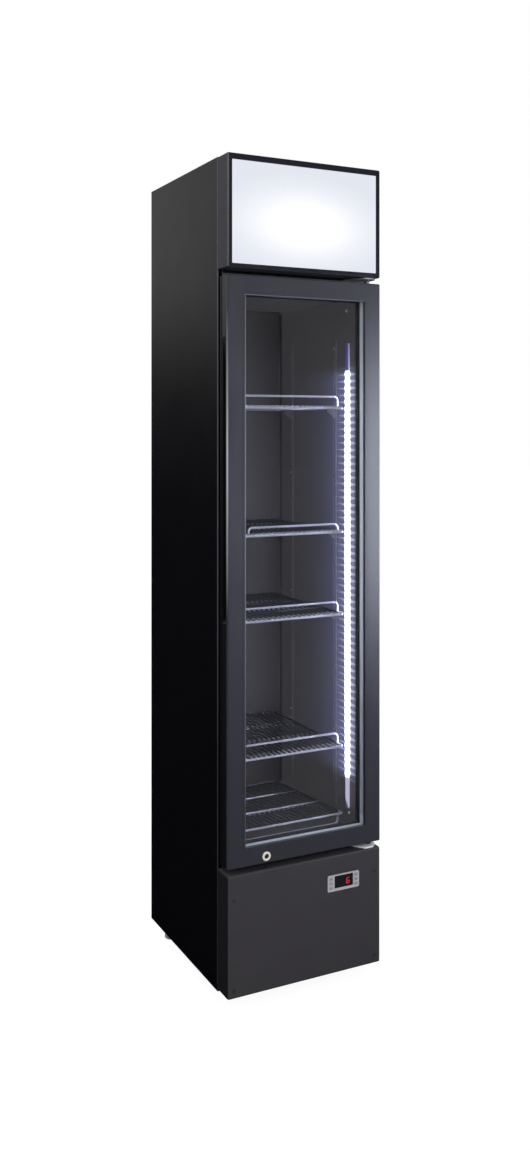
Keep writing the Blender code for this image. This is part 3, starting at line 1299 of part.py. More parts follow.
def fan_centre():
    """The fan's axis runs front to back through the condenser's middle."""
    low, high = condenser_box()
    return (low[0] + high[0]) / 2, low[1] - SEAT_GAP, (low[2] + high[2]) / 2


def fan_shroud(metal):
    """The plate on the condenser's front with a ring round the fan and the motor's arms."""
    low, high = condenser_box()
    x, seat, z = fan_centre()
    front = seat - SHROUD_PLATE
    plate = block((low[0], front, PAN_TOP + SEAT_GAP), (high[0], seat, high[2]))
    hole_radius = FAN_TIP_RADIUS + FAN_TIP_GAP
    collar = turned([(hole_radius, front - SHROUD_RING), (hole_radius + SHROUD_PLATE,
                                                         front - SHROUD_RING),
                     (hole_radius + SHROUD_PLATE, seat - SHROUD_PLATE / 2),
                     (hole_radius, seat - SHROUD_PLATE / 2)], 1, (x, 0, z), FAN_SIDES)
    hole = rod(hole_radius, 1, (x, 0, z), front - SHROUD_RING - CUT_OVERRUN,
               seat + CUT_OVERRUN, FAN_SIDES)
    bar_rear = motor_bar_rear()
    bar_front = bar_rear - MOTOR_ARM_THICK
    half = MOTOR_ARM_WIDTH / 2
    legs = [block((left, bar_front, z - half),
                  (left + MOTOR_ARM_THICK, front + SHROUD_PLATE / 2, z + half))
            for left in (low[0], high[0] - MOTOR_ARM_THICK)]
    bar = block((low[0], bar_front, z - half), (high[0], bar_rear, z + half))
    shaft_hole = rod(MOTOR_SHAFT_RADIUS + MOTOR_SHAFT_CLEARANCE, 1, (x, 0, z),
                     bar_front - CUT_OVERRUN, bar_rear + CUT_OVERRUN, SMALL_SIDES)
    piece("fan_shroud", plate, metal, cuts=[hole], late_joins=[collar, gathered(legs), bar],
          last_cuts=[shaft_hole])


def motor_bar_rear():
    """The rear face of the bar that carries the fan motor."""
    return fan_centre()[1] - SHROUD_PLATE - SHROUD_RING - MOTOR_GAP


def fan_motor(black):
    """The small motor on the front of its bar, with its shaft through the fan's hub."""
    x, seat, z = fan_centre()
    rear = motor_bar_rear() - MOTOR_ARM_THICK - SEAT_GAP
    front = rear - MOTOR_LENGTH
    tip = fan_middle() + FAN_HUB_LENGTH / 2
    bevel = MOTOR_END_BEVEL
    profile = [(0, front), (MOTOR_RADIUS - bevel, front), (MOTOR_RADIUS, front + bevel),
               (MOTOR_RADIUS, rear - bevel), (MOTOR_RADIUS - bevel, rear),
               (MOTOR_SHAFT_RADIUS, rear), (MOTOR_SHAFT_RADIUS, tip), (0, tip)]
    piece("fan_motor", turned(profile, 1, (x, 0, z), FAN_SIDES), black, pivot=(x, rear, z))


def fan_middle():
    """The middle of the fan's hub, half way along the shroud's ring."""
    return fan_centre()[1] - SHROUD_PLATE - SHROUD_RING / 2


def fan_blade(plastic):
    """The hub and its pitched blades, turning inside the shroud's ring."""
    x, seat, z = fan_centre()
    middle = fan_middle()
    half = FAN_HUB_LENGTH / 2
    bore = MOTOR_SHAFT_RADIUS + SEAT_GAP
    hub = turned([(bore, middle - half), (FAN_HUB_RADIUS, middle - half),
                  (FAN_HUB_RADIUS, middle + half), (bore, middle + half)],
                 1, (x, 0, z), FAN_SIDES)
    root, tip = FAN_HUB_RADIUS - FAN_BLADE_SINK, FAN_TIP_RADIUS * math.cos(math.pi / FAN_SIDES)
    blades = []
    for index in range(FAN_BLADES):
        outline = [(root, -FAN_BLADE_ROOT / 2), (tip, -FAN_BLADE_CHORD / 2),
                   (FAN_TIP_RADIUS + CUT_OVERRUN, 0), (tip, FAN_BLADE_CHORD / 2),
                   (root, FAN_BLADE_ROOT / 2)]
        blade = prism(outline, 2, -FAN_BLADE_THICK / 2, FAN_BLADE_THICK / 2)
        lay = Matrix.Rotation(math.radians(FAN_PITCH_DEGREES), 4, "X")
        stand = Matrix.Rotation(math.pi / 2, 4, "X")
        around = Matrix.Rotation(math.tau * index / FAN_BLADES, 4, "Y")
        bmesh.ops.transform(blade, verts=blade.verts,
                            matrix=Matrix.Translation((x, middle, z)) @ around @ stand @ lay)
        blades.append(blade)
    keep = rod(FAN_TIP_RADIUS, 1, (x, 0, z), middle - SHROUD_RING, middle + SHROUD_RING,
               FAN_SIDES)
    item = piece("fan_blade", gathered(blades), plastic, pivot=(x, middle, z))
    for shape in (keep, hub):
        bmesh.ops.translate(shape, vec=(-x, -middle, -z), verts=shape.verts)
    item.location = (0, 0, 0)
    combine(item, keep, "INTERSECT")
    combine(item, hub, "UNION")
    dress(item, plastic)
    item.location = (x, middle, z)


def drain_tray(plastic):
    """The open tray on the compressor's crown, where the drained water dries off."""
    half_x, half_y = DRAIN_TRAY_HALF
    low = compressor_base() + COMPRESSOR_CROWN + SEAT_GAP
    wall = DRAIN_TRAY_WALL
    outer = rounded_block((COMPRESSOR_X - half_x, COMPRESSOR_Y - half_y, low),
                          (COMPRESSOR_X + half_x, COMPRESSOR_Y + half_y,
                           low + DRAIN_TRAY_HEIGHT), COMPRESSOR_BOOT_RADIUS, 2, along=2)
    inner = rounded_block((COMPRESSOR_X - half_x + wall, COMPRESSOR_Y - half_y + wall,
                           low + wall),
                          (COMPRESSOR_X + half_x - wall, COMPRESSOR_Y + half_y - wall,
                           low + DRAIN_TRAY_HEIGHT + CUT_OVERRUN),
                          COMPRESSOR_BOOT_RADIUS - wall, 2, along=2)
    piece("drain_tray", outer, plastic, cuts=[inner])


def filter_drier(copper):
    """The brazed tube from the condenser, the drier in it and the capillary after it."""
    low, high = condenser_box()
    step = (high[2] - low[2]) / (CONDENSER_BENDS + 1)
    middle, level = (low[1] + high[1]) / 2, low[2] + step / 2
    x = high[0] + DRIER_FROM_CONDENSER
    start = (high[0] + SEAT_GAP, middle, level)
    rear_neck = middle - DRIER_RUN
    points = [start]
    points += bend((x, middle, level), start, (x, rear_neck, level), TUBE_BEND, 3)
    points.append((x, rear_neck - DRIER_NECK / 2, level))
    inlet = wire(points, TUBE_RADIUS, SMALL_SIDES, normal=(0, 0, 1))
    front_neck = rear_neck - DRIER_LENGTH
    profile = [(0, front_neck), (TUBE_RADIUS, front_neck),
               (DRIER_RADIUS, front_neck + DRIER_NECK), (DRIER_RADIUS, rear_neck - DRIER_NECK),
               (TUBE_RADIUS * 1.2, rear_neck), (0, rear_neck)]
    shell = turned(profile, 1, (x, 0, level), SMALL_SIDES)
    bottom = (x, front_neck + DRIER_NECK / 2, level)
    corner = (x, front_neck - TUBE_BEND * 2, level)
    top = (x, corner[1], DECK_TOP - SHEET - SEAT_GAP)
    capillary = wire([bottom] + bend(corner, bottom, top, TUBE_BEND, 3) + [top],
                     CAPILLARY_RADIUS, WIRE_SIDES, normal=(1, 0, 0))
    piece("filter_drier", shell, copper, joins=[inlet, capillary])


def rear_grille(paint):
    """The louvred sheet behind the machine compartment, with an empty cord gland."""
    edge = HALF - REAR_RETURN - SEAT_GAP
    front = BACK - SHEET
    low = BOTTOM + PAN_LIFT
    sheet = block((-edge, front, low), (edge, BACK, GRILLE_TOP))
    half = edge - GRILLE_LOUVRE_INSET
    slots, louvres = [], []
    for index in range(GRILLE_LOUVRES):
        z = BOTTOM + GRILLE_FIRST + index * GRILLE_PITCH
        slots.append(block((-half + SHEET, front - CUT_OVERRUN, z),
                           (half - SHEET, BACK + CUT_OVERRUN, z + GRILLE_SLOT)))
        head = z + GRILLE_LOUVRE_HEIGHT
        outline = [(front + SHEET / 2, head), (BACK + GRILLE_LOUVRE_PROUD - SHEET, z),
                   (BACK + GRILLE_LOUVRE_PROUD, z), (front + SHEET / 2, head + SHEET * 2)]
        louvres.append(prism(outline, 0, -half, half))
    spot = (GLAND_X, 0, BOTTOM + GLAND_LEVEL)
    gland = rod(GLAND_RADIUS, 1, spot, front - GLAND_LENGTH, BACK + GRILLE_LOUVRE_PROUD,
                ROUND_SIDES)
    bore = rod(GLAND_BORE, 1, spot, front - GLAND_LENGTH - CUT_OVERRUN,
               BACK + GRILLE_LOUVRE_PROUD + CUT_OVERRUN, SMALL_SIDES)
    piece("rear_grille", sheet, paint, cuts=[gathered(slots)],
          late_joins=[gathered(louvres), gland], last_cuts=[bore])


def build():
    """Remove what is in the scene and model every sub-part."""
    for item in list(bpy.data.objects):
        bpy.data.objects.remove(item)
    black = finish("black_enamel_sheet", "0c0b0f", 0.25)
    charcoal = finish("charcoal_enamel_sheet", "37363b", 0.38)
    frame_black = finish("black_bezel_enamel", "1b1b22", 0.30)
    zinc = finish("zinc_coated_steel", "a9acb0", 0.42, metallic=0.9)
    dark_plastic = finish("charcoal_moulded_plastic", "2d2d31", 0.45)
    white = finish("white_reflector_enamel", "eceef2", 0.50)
    opal = finish("opal_acrylic", "f4f6fb", 0.35, glow=1.0)
    foam_white = finish("rigid_foam", "e8dfc4", 0.90)
    aluminium = finish("aluminium", "b9bcc2", 0.35, metallic=0.9)
    glass = finish("clear_float_glass", "dfe6ea", 0.03, alpha=0.12)
    rubber = finish("black_soft_vinyl", "161618", 0.70)
    chrome = finish("bright_chromed_wire", "c9ccd4", 0.15, metallic=1.0)
    steel = finish("bright_zinc_plate", "d6d7da", 0.25, metallic=0.95)
    nickel = finish("nickel_plated_brass", "d9d3c0", 0.28, metallic=0.9)
    light_grey = finish("light_grey_moulded_plastic", "a9a7ad", 0.45)
    key_grey = finish("grey_silicone_key", "8f8d94", 0.60)
    window = finish("smoked_acrylic", "16191b", 0.10)
    diffuser = finish("clear_diffuser", "e9ebff", 0.30, glow=4.0)
    machine_black = finish("black_machine_enamel", "131315", 0.45)
    copper = finish("copper_tube", "b06a46", 0.35, metallic=0.9)
    grey_plastic = finish("grey_moulded_plastic", "85878c", 0.50)

    side_panel("left_side_panel", -1, black)
    side_panel("right_side_panel", 1, black)
    top_panel(black)
    back_panel(zinc)
    compressor_deck(zinc)
    liner(dark_plastic)
    foam(foam_white)
    evaporator(aluminium)
    header_mount_plate(zinc)
    header_frame(frame_black)
    header_light_panel(opal)
    header_light_tray(white)
    header_led_board(white)
    led_driver(aluminium)
    door_frame(charcoal)
    glazing(glass, aluminium, dark_plastic)
    door_gasket(rubber)
    hinge_plate("lower_hinge_plate", COVER_TOP + SEAT_GAP, DOOR_BOTTOM, steel)
    hinge_plate("upper_hinge_plate", HEADER_LOW - SEAT_GAP, DOOR_TOP, steel)
    hinge_spacer(rubber)
    lock(nickel, steel)
    base_cover(charcoal)
    controller(light_grey, window, key_grey)
    shelves(chrome)
    for name, side in (("left", -1), ("right", 1)):
        for place, middle in (("front", CABINET + UPRIGHT_FRONT_FROM_CABINET),
                              ("rear", INSIDE_BACK - UPRIGHT_REAR_FROM_LINER)):
            shelf_support("shelf_support_%s_%s" % (place, name), side, middle, dark_plastic)
    light_bar(aluminium, white, diffuser)
    base_pan(zinc)
    for name, x, y in feet_places():
        foot(name, x, y, grey_plastic)
    compressor(machine_black)
    condenser(aluminium)
    fan_shroud(zinc)
    fan_motor(machine_black)
    fan_blade(grey_plastic)
    drain_tray(dark_plastic)
    filter_drier(copper)
    rear_grille(black)


build()
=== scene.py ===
"""Finishes, small fittings and studio for the slim glass-door display refrigerator.

Lengths are in metres, unless a name says millimetres or pixels. X runs to the right, Y to the
back and Z up from the floor, and the cabinet stands over the origin.
"""
import math

import bmesh
import bpy
from mathutils import Matrix, Vector


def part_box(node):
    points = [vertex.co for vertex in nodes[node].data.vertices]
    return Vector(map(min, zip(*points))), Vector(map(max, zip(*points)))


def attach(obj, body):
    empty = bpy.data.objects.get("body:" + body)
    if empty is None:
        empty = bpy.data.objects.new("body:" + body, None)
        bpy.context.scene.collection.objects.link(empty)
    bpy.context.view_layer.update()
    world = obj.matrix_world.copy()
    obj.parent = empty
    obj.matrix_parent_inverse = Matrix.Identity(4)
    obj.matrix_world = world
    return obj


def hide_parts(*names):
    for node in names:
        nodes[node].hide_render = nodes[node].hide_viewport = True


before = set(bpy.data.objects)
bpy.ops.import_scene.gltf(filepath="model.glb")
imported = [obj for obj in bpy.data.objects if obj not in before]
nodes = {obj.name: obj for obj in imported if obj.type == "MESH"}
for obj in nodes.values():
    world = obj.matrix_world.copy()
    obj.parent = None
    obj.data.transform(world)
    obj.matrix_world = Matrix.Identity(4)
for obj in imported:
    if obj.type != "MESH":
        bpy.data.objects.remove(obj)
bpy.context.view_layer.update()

# Light bar: its middle line, the pitch of its diodes, and where the lit ones start and end
BAR_X, BAR_Y = 0.1402, -0.1405
DIODE_PITCH = 0.015
FIRST_LIT, LAST_LIT = 0.417, 1.302

# Shelves: front and back of the ring, depths of the two bars across it, and wire radii
RING_FRONT, RING_BACK = -0.147, 0.174
CROSS_BARS = (-0.040, 0.067)
RING_WIRE, THIN_WIRE, FENCE_WIRE = 0.0025, 0.0017, 0.0024


# Nodes and materials

def srgb(text):
    """A colour written as sRGB hex, as linear red, green, blue and 1."""
    values = [int(text[at:at + 2], 16) / 255 for at in (0, 2, 4)]
    return [((v + 0.055) / 1.055) ** 2.4 if v > 0.04045 else v / 12.92 for v in values] + [1]


def join(tree, node, inputs):
    """Sets a node's inputs, by name or in order, to values, or links them.

    A node that is given as a value stands for its first output in use.
    """
    pairs = inputs.items() if isinstance(inputs, dict) else enumerate(inputs)
    for name, value in pairs:
        if isinstance(value, bpy.types.Node):
            value = next(output for output in value.outputs if output.enabled)
        if isinstance(value, bpy.types.NodeSocket):
            tree.links.new(value, node.inputs[name])
        else:
            node.inputs[name].default_value = value


def add(tree, kind, inputs=(), **settings):
    """A node with its settings and its inputs."""
    node = tree.nodes.new("ShaderNode" + kind)
    for name, value in settings.items():
        setattr(node, name, value)
    join(tree, node, inputs)
    return node


def surface(name, **sockets):
    """A material with one Principled shader, and its tree."""
    material = bpy.data.materials.new(name)
    material.use_nodes = True
    tree = material.node_tree
    shader = tree.nodes["Principled BSDF"]
    join(tree, shader, {socket.replace("_", " "): value for socket, value in sockets.items()})
    return material, tree, shader


def places(tree):
    """How far to the right, to the back and up each point of a surface lies."""
    place = add(tree, "TexCoord").outputs["Object"]
    return add(tree, "SeparateXYZ", [place]).outputs[:]


def overlap(tree, *shares):
    """Several shares of one, such as the ends of a lit stretch, multiplied together."""
    whole = shares[0]
    for share in shares[1:]:
        whole = add(tree, "Math", [whole, share], operation="MULTIPLY")
    return whole


def patches(tree, size_mm, stretch, detail):
    """Soft noise in patches of a size in millimetres, drawn out where stretch is low."""
    place = add(tree, "TexCoord").outputs["Object"]
    spread = add(tree, "Mapping", {"Vector": place, "Scale": stretch})
    return add(tree, "TexNoise", {"Vector": spread, "Scale": 1000 / size_mm,
                                  "Detail": detail})


def tone(tree, shader, dark, light, size_mm, stretch=(1, 1, 1)):
    """Colour that wanders between two close tones."""
    mix = add(tree, "Mix", {"Factor": patches(tree, size_mm, stretch, 3.0), "A": srgb(dark),
                            "B": srgb(light)}, data_type="RGBA")
    join(tree, shader, {"Base Color": mix})
    return mix


def grain(tree, shader, size_mm, height_mm, stretch=(1, 1, 1)):
    """A fine bump.

    Orange peel, spark grain and drawing lines are finer than the picture shows, so each is
    drawn as coarse as it needs to break up a highlight.
    """
    bump = add(tree, "Bump", {"Height": patches(tree, size_mm, stretch, 2.0),
                              "Strength": 1.0, "Distance": height_mm / 1000})
    join(tree, shader, {"Normal": bump})


def uneven(tree, shader, smooth, rough, size_mm, stretch=(1, 1, 1)):
    """Roughness that wanders between two values, as wiped and handled surfaces do."""
    spots = patches(tree, size_mm, stretch, 4.0)
    join(tree, shader, {"Roughness": add(tree, "MapRange", [spots, 0.3, 0.7, smooth, rough])})


def black_enamel():
    """Stoved enamel on steel sheet: deep black, glossy, with a faint orange peel.

    A painted highlight runs along the side sheets' folded front edges, stronger towards the
    top.
    """
    material, tree, shader = surface("black_stoved_enamel", IOR=1.5, Specular_IOR_Level=0.2)
    skin = tone(tree, shader, "07060a", "0a090d", 60)
    side_face, fold_back = 0.178, -0.1612
    across, depth, level = places(tree)
    outward = add(tree, "Math", [across], operation="ABSOLUTE")
    # Painted highlight: pale grey along the side sheets' folded front edges
    fold_highlight = overlap(tree, add(tree, "Math", [outward, side_face], operation="GREATER_THAN"),
                   add(tree, "Math", [depth, fold_back], operation="LESS_THAN"),
                   add(tree, "MapRange", [level, 0.5, 0.95, 0.35, 1.0]))
    whole = add(tree, "Mix", {"Factor": fold_highlight, "A": skin, "B": srgb("4b4b55")},
                data_type="RGBA")
    join(tree, shader, {"Base Color": whole})
    grain(tree, shader, 3.0, 0.004)
    uneven(tree, shader, 0.20, 0.26, 90)
    return material


def charcoal_coat():
    """Fine-textured powder coat on the folded base cover: charcoal and satin.

    Its folded sides are nearly black.
    """
    material, tree, shader = surface("charcoal_powder_coat", IOR=1.5, Specular_IOR_Level=0.3)
    skin = tone(tree, shader, "333135", "38363a", 40)
    side_face = 0.1786
    outward = add(tree, "Math", [places(tree)[0]], operation="ABSOLUTE")
    side = add(tree, "Math", [outward, side_face], operation="GREATER_THAN")
    whole = add(tree, "Mix", {"Factor": side, "A": skin, "B": srgb("161519")},
                data_type="RGBA")
    join(tree, shader, {"Base Color": whole})
    grain(tree, shader, 0.9, 0.02)
    uneven(tree, shader, 0.46, 0.54, 70)
    return material


def frame_profile():
    """Extruded door profile with a charcoal skin: satin, with fine lines along its length.

    Its side faces are painted nearly black as shade, and the lip of the grip has a painted
    highlight.
    """
    material, tree, shader = surface("charcoal_extruded_profile", IOR=1.5,
                                     Specular_IOR_Level=0.6)
    skin = tone(tree, shader, "2a2a32", "2f2f37", 8, stretch=(1, 1, 0.04))
    side_start, face_back = 0.165, -0.2058
    lip_right, lip_front = -0.1785, -0.2120
    across, depth, level = places(tree)
    outward = add(tree, "Math", [across], operation="ABSOLUTE")
    # Painted shade: the side faces go nearly black
    side = overlap(tree, add(tree, "Math", [outward, side_start], operation="GREATER_THAN"),
                   add(tree, "Math", [depth, face_back], operation="GREATER_THAN"))
    # Painted highlight on the grip's lip, brightest between 1.07 and 1.15 m up
    lip = overlap(tree, add(tree, "MapRange", [level, 0.80, 1.07]),
                  add(tree, "MapRange", [level, 1.42, 1.15]),
                  add(tree, "Math", [depth, lip_front], operation="GREATER_THAN"),
                  add(tree, "Math", [across, lip_right], operation="LESS_THAN"))
    lip_highlighted = add(tree, "Mix", {"Factor": lip, "A": skin, "B": srgb("9c9ca4")},
               data_type="RGBA")
    whole = add(tree, "Mix", {"Factor": side, "A": lip_highlighted, "B": srgb("0b0b0f")},
                data_type="RGBA")
    join(tree, shader, {"Base Color": whole})
    grain(tree, shader, 1.2, 0.006, stretch=(1, 1, 0.03))
    uneven(tree, shader, 0.30, 0.36, 40, stretch=(1, 1, 0.3))
    return material


def bezel_black():
    """Satin moulded bezel round the light panel, black with a little blue."""
    material, tree, shader = surface("black_moulded_bezel", IOR=1.5, Specular_IOR_Level=0.25)
    tone(tree, shader, "1a1a22", "1f1f28", 25)
    grain(tree, shader, 1.0, 0.006)
    uneven(tree, shader, 0.26, 0.32, 50)
    return material


def moulded(name, dark, light, rough, size_mm=12):
    """Moulded plastic with a light spark-eroded grain."""
    material, tree, shader = surface(name, IOR=1.46, Specular_IOR_Level=0.4)
    tone(tree, shader, dark, light, size_mm)
    grain(tree, shader, 0.8, 0.012)
    uneven(tree, shader, rough - 0.03, rough + 0.04, 30)
    return material


def liner_plastic(bar):
    """Vacuum-formed dark liner, with the light bar's glow painted along the right wall as
    emission.

    A painted violet haze fades along the wall, with a painted spike of light from each diode.
    """
    material, tree, shader = surface("charcoal_vacuum_formed_liner", IOR=1.46,
                                     Specular_IOR_Level=0.25)
    tone(tree, shader, "38363b", "3c3a3f", 45)
    grain(tree, shader, 14.0, 0.010)
    uneven(tree, shader, 0.40, 0.46, 60)
    low, high = bar
    across, depth, level = places(tree)
    aside = add(tree, "Math", [depth, (low.y + high.y) / 2], operation="SUBTRACT")
    away = add(tree, "Math", [aside], operation="ABSOLUTE")

    # How far along the wall the haze and the spikes fade to about a third
    haze_fade, spike_fade = 0.060, 0.030
    haze = add(tree, "Math", [overlap(tree, away, -1 / haze_fade)], operation="EXPONENT")
    reach = add(tree, "Math", [overlap(tree, away, -1 / spike_fade)], operation="EXPONENT")

    # Half a spike's width, in shares of the diodes' pitch, narrows away from the bar
    height = add(tree, "Math", [level, FIRST_LIT], operation="SUBTRACT")
    turn = add(tree, "Math", [overlap(tree, height, 1 / DIODE_PITCH)], operation="FRACT")
    off = add(tree, "Math", [add(tree, "Math", [turn, 0.5], operation="SUBTRACT")],
              operation="ABSOLUTE")
    half = add(tree, "MapRange", [away, 0.005, 0.055, 0.28, 0.06])
    inside = add(tree, "Math", [half, off], operation="SUBTRACT")
    spike = overlap(tree, add(tree, "MapRange", [inside, 0.0, 0.10]), reach,
                    add(tree, "MapRange", [away, 0.066, 0.042]))
    both = add(tree, "Math", [overlap(tree, haze, 0.33), overlap(tree, spike, 1.5)],
               operation="ADD")

    # They lie on the right wall, between the lit ends of the bar, and weaker behind it
    wall_start, foot_start, foot_end, head_start, head_end = 0.136, 0.405, 0.430, 1.290, 1.312
    lit = overlap(tree, add(tree, "MapRange", [level, foot_start, foot_end]),
                  add(tree, "MapRange", [level, head_end, head_start]))
    wall = add(tree, "Math", [across, wall_start], operation="GREATER_THAN")
    behind = add(tree, "MapRange", [aside, -0.004, 0.0, 0.55, 1.0])
    glow = overlap(tree, both, lit, wall, behind)

    # A painted glow stands in for what the close walls throw back at one another and lifts
    # every corner to a dim grey, apart from the right part of the back wall, left darker as
    # painted shade
    back_face, dim_grey = 0.178, 0.038
    back = add(tree, "Math", [depth, back_face], operation="GREATER_THAN")
    shade = overlap(tree, add(tree, "MapRange", [across, 0.02, 0.145, 0.0, 0.85]), back)
    fill = overlap(tree, add(tree, "Math", [1.0, shade], operation="SUBTRACT"), dim_grey)
    whole = add(tree, "Math", [glow, fill], operation="ADD")
    hue = add(tree, "Mix", {"Factor": spike, "A": srgb("a2a8f4"), "B": srgb("ccd2ff")},
              data_type="RGBA")
    tint = add(tree, "Mix", {"Factor": add(tree, "Math", [glow, whole], operation="DIVIDE"),
                             "A": srgb("f6f0fa"), "B": hue}, data_type="RGBA")
    join(tree, shader, {"Emission Color": tint, "Emission Strength": whole})
    return material


def light_panel(box):
    """Opal acrylic lit from behind: pure white in the middle, blue-white at its edges."""
    material, tree, shader = surface("opal_acrylic_lit", IOR=1.49, Roughness=0.4,
                                     Specular_IOR_Level=0.2, Base_Color=srgb("202226"),
                                     Emission_Strength=1.0)
    # The brightest spot lies a little under the panel's middle and to its left
    low, high = box
    middle = (low + high) / 2 + Vector((-0.002, 0, -0.017))
    half_wide, half_high = 0.185, 0.092
    spread = add(tree, "Mapping", {
        "Vector": add(tree, "TexCoord").outputs["Object"],
        "Scale": (1 / half_wide, 0, 1 / half_high),
        "Location": (-middle.x / half_wide, 0, -middle.z / half_high)})
    reach = add(tree, "VectorMath", [spread], operation="LENGTH")
    shade = add(tree, "ValToRGB", [add(tree, "MapRange", [reach, 0, 1.4])])
    ramp = shade.color_ramp
    for position, hue in ((0.24, "ffffff"), (0.366, "fafbfe"), (0.453, "f4f5fa"),
                          (0.56, "edeff6"), (0.63, "e8ebf2"), (0.83, "e1e4ed")):
        ramp.elements.new(position).color = srgb(hue)
    ramp.elements.remove(ramp.elements[0])
    ramp.elements.remove(ramp.elements[-1])
    join(tree, shader, {"Emission Color": shade})
    return material


def diffuser(bar):
    """Clear lens over the diodes: blinding white along them.

    It glows violet where only stray light runs on to its ends, which is painted glow, with a
    painted reflection as a pale line down its front corner.
    """
    material, tree, shader = surface("clear_bar_lens", IOR=1.49, Roughness=0.3,
                                     Specular_IOR_Level=0.3, Base_Color=srgb("2c2a40"))
    low, high = bar
    across, depth, level = places(tree)
    blur = 0.003
    lit = overlap(tree, add(tree, "MapRange", [level, FIRST_LIT - blur, FIRST_LIT + blur]),
                  add(tree, "MapRange", [level, LAST_LIT + blur, LAST_LIT - blur]))

    # How far each point lies towards the lens's front right corner, where the painted pale
    # line is
    right, front = 0.89, 0.45
    towards = add(tree, "Math", [overlap(tree, across, right), overlap(tree, depth, front)],
                  operation="SUBTRACT")
    middle = BAR_X * right - BAR_Y * front
    line = add(tree, "MapRange", [towards, middle + 0.0010, middle + 0.0024])

    # Over the lit stretch the painted line is bright, and fades towards the bar's upper end
    head = overlap(tree, add(tree, "MapRange", [line, 0, 1, 0.34, 0.95]),
                   add(tree, "MapRange", [level, high.z, LAST_LIT, 0.55, 1.0]))

    # Under it the lens has a pale painted glow all over, darker along a slant at its lower end
    slope = 3.0
    slant = add(tree, "Math", [level, overlap(tree, towards, slope)], operation="ADD")
    end = low.z + slope * middle
    foot = add(tree, "MapRange", [slant, end + 0.003, end + 0.012, 0.10, 0.80])
    is_foot = add(tree, "Math", [level, 0.8], operation="LESS_THAN")
    dim = add(tree, "Mix", {"Factor": is_foot, "A": head, "B": foot}, data_type="FLOAT")
    pale = add(tree, "Math", [is_foot, line], operation="MAXIMUM")
    stray = add(tree, "Mix", {"Factor": pale, "A": srgb("8078e8"), "B": srgb("dcd6f8")},
                data_type="RGBA")

    # The lit stretch is white, with a painted violet fringe where the lens turns away
    edge = add(tree, "LayerWeight", {"Blend": 0.35}).outputs["Facing"]
    fringe = add(tree, "Mix", {"Factor": add(tree, "MapRange", [edge, 0.80, 1.0]),
                               "A": srgb("fafaff"), "B": srgb("b4b4ff")}, data_type="RGBA")
    tint = add(tree, "Mix", {"Factor": lit, "A": stray, "B": fringe}, data_type="RGBA")
    power = add(tree, "Mix", {"Factor": lit, "A": dim,
                              "B": add(tree, "MapRange", [edge, 0.75, 1.0, 4.0, 0.9])},
                data_type="FLOAT")
    join(tree, shader, {"Emission Color": tint, "Emission Strength": power})
    return material


def clear_glass():
    """Float glass: clear, with a trace of green, letting lamps through to the shelves."""
    hue = srgb("f8faf9")
    material, tree, shader = surface("clear_float_glass", IOR=1.45, Roughness=0.0,
                                     Transmission_Weight=1.0, Base_Color=hue)
    shadow = add(tree, "LightPath").outputs["Is Shadow Ray"]
    clear = add(tree, "BsdfTransparent", {"Color": hue})
    join(tree, tree.nodes["Material Output"],
         {"Surface": add(tree, "MixShader", [shadow, shader, clear])})
    return material


def bright_chrome(name, bands):
    """Chromium plate over drawn wire: painted reflections, bright in bands, and dark between
    them.

    The bands are a painted reflection of the front and the light bar, and the dark rest a
    painted reflection of the unlit cabinet. Each band is a depth, its half width and how far
    to the right it stays bright.
    """
    material, tree, shader = surface(name, Metallic=0.85)
    skin = tone(tree, shader, "dedaf6", "f0ecff", 15)
    across, depth, _ = places(tree)
    blur, fade = 0.0015, 0.11
    lit = 0.0
    for middle, half, right in bands:
        aside = add(tree, "Math", [add(tree, "Math", [depth, middle], operation="SUBTRACT")],
                    operation="ABSOLUTE")
        band = overlap(tree, add(tree, "MapRange", [aside, half + blur, half - blur]),
                       add(tree, "MapRange", [across, right, right - fade]))
        lit = add(tree, "Math", [band, lit], operation="MAXIMUM")
    shade = add(tree, "Mix", {"Factor": lit, "A": srgb("74747f"), "B": skin},
                data_type="RGBA")
    join(tree, shader, {"Base Color": shade})
    uneven(tree, shader, 0.30, 0.40, 12)
    grain(tree, shader, 1.5, 0.004)
    return material


def brushed(name, dark, light, smooth, rough, along=(1, 1, 0.05)):
    """Drawn or brushed metal, its fine lines along one direction."""
    material, tree, shader = surface(name, Metallic=1.0)
    tone(tree, shader, dark, light, 4, stretch=along)
    uneven(tree, shader, smooth, rough, 6, stretch=along)
    grain(tree, shader, 0.5, 0.004, stretch=along)
    return material


def satin(name, dark, light, metal, rough):
    """Bright plated or anodised metal with a milky bloom, half mirror and half matt."""
    material, tree, shader = surface(name, Metallic=metal)
    tone(tree, shader, dark, light, 6)
    uneven(tree, shader, rough - 0.05, rough + 0.05, 8)
    grain(tree, shader, 0.6, 0.004)
    return material


def glazing_wedge():
    """Thin moulded wedge at the glass: black, with a painted grey highlight on all but its
    right run.
    """
    material, tree, shader = surface("glazing_wedge_sheen", IOR=1.46, Specular_IOR_Level=0.4)
    skin = tone(tree, shader, "6e7080", "7a7c8c", 8)
    right_run = 0.1395
    across, _, level = places(tree)
    # Painted highlight: a grey sheen, strongest at mid height, left off the right run
    sheen = overlap(tree, add(tree, "MapRange", [level, 0.42, 0.98, 0.35, 1.0]),
                    add(tree, "MapRange", [level, 1.45, 1.25, 0.55, 1.0]),
                    add(tree, "Math", [across, right_run], operation="LESS_THAN"))
    whole = add(tree, "Mix", {"Factor": sheen, "A": srgb("18181c"), "B": skin},
                data_type="RGBA")
    join(tree, shader, {"Base Color": whole})
    uneven(tree, shader, 0.32, 0.40, 12)
    grain(tree, shader, 0.8, 0.006)
    return material


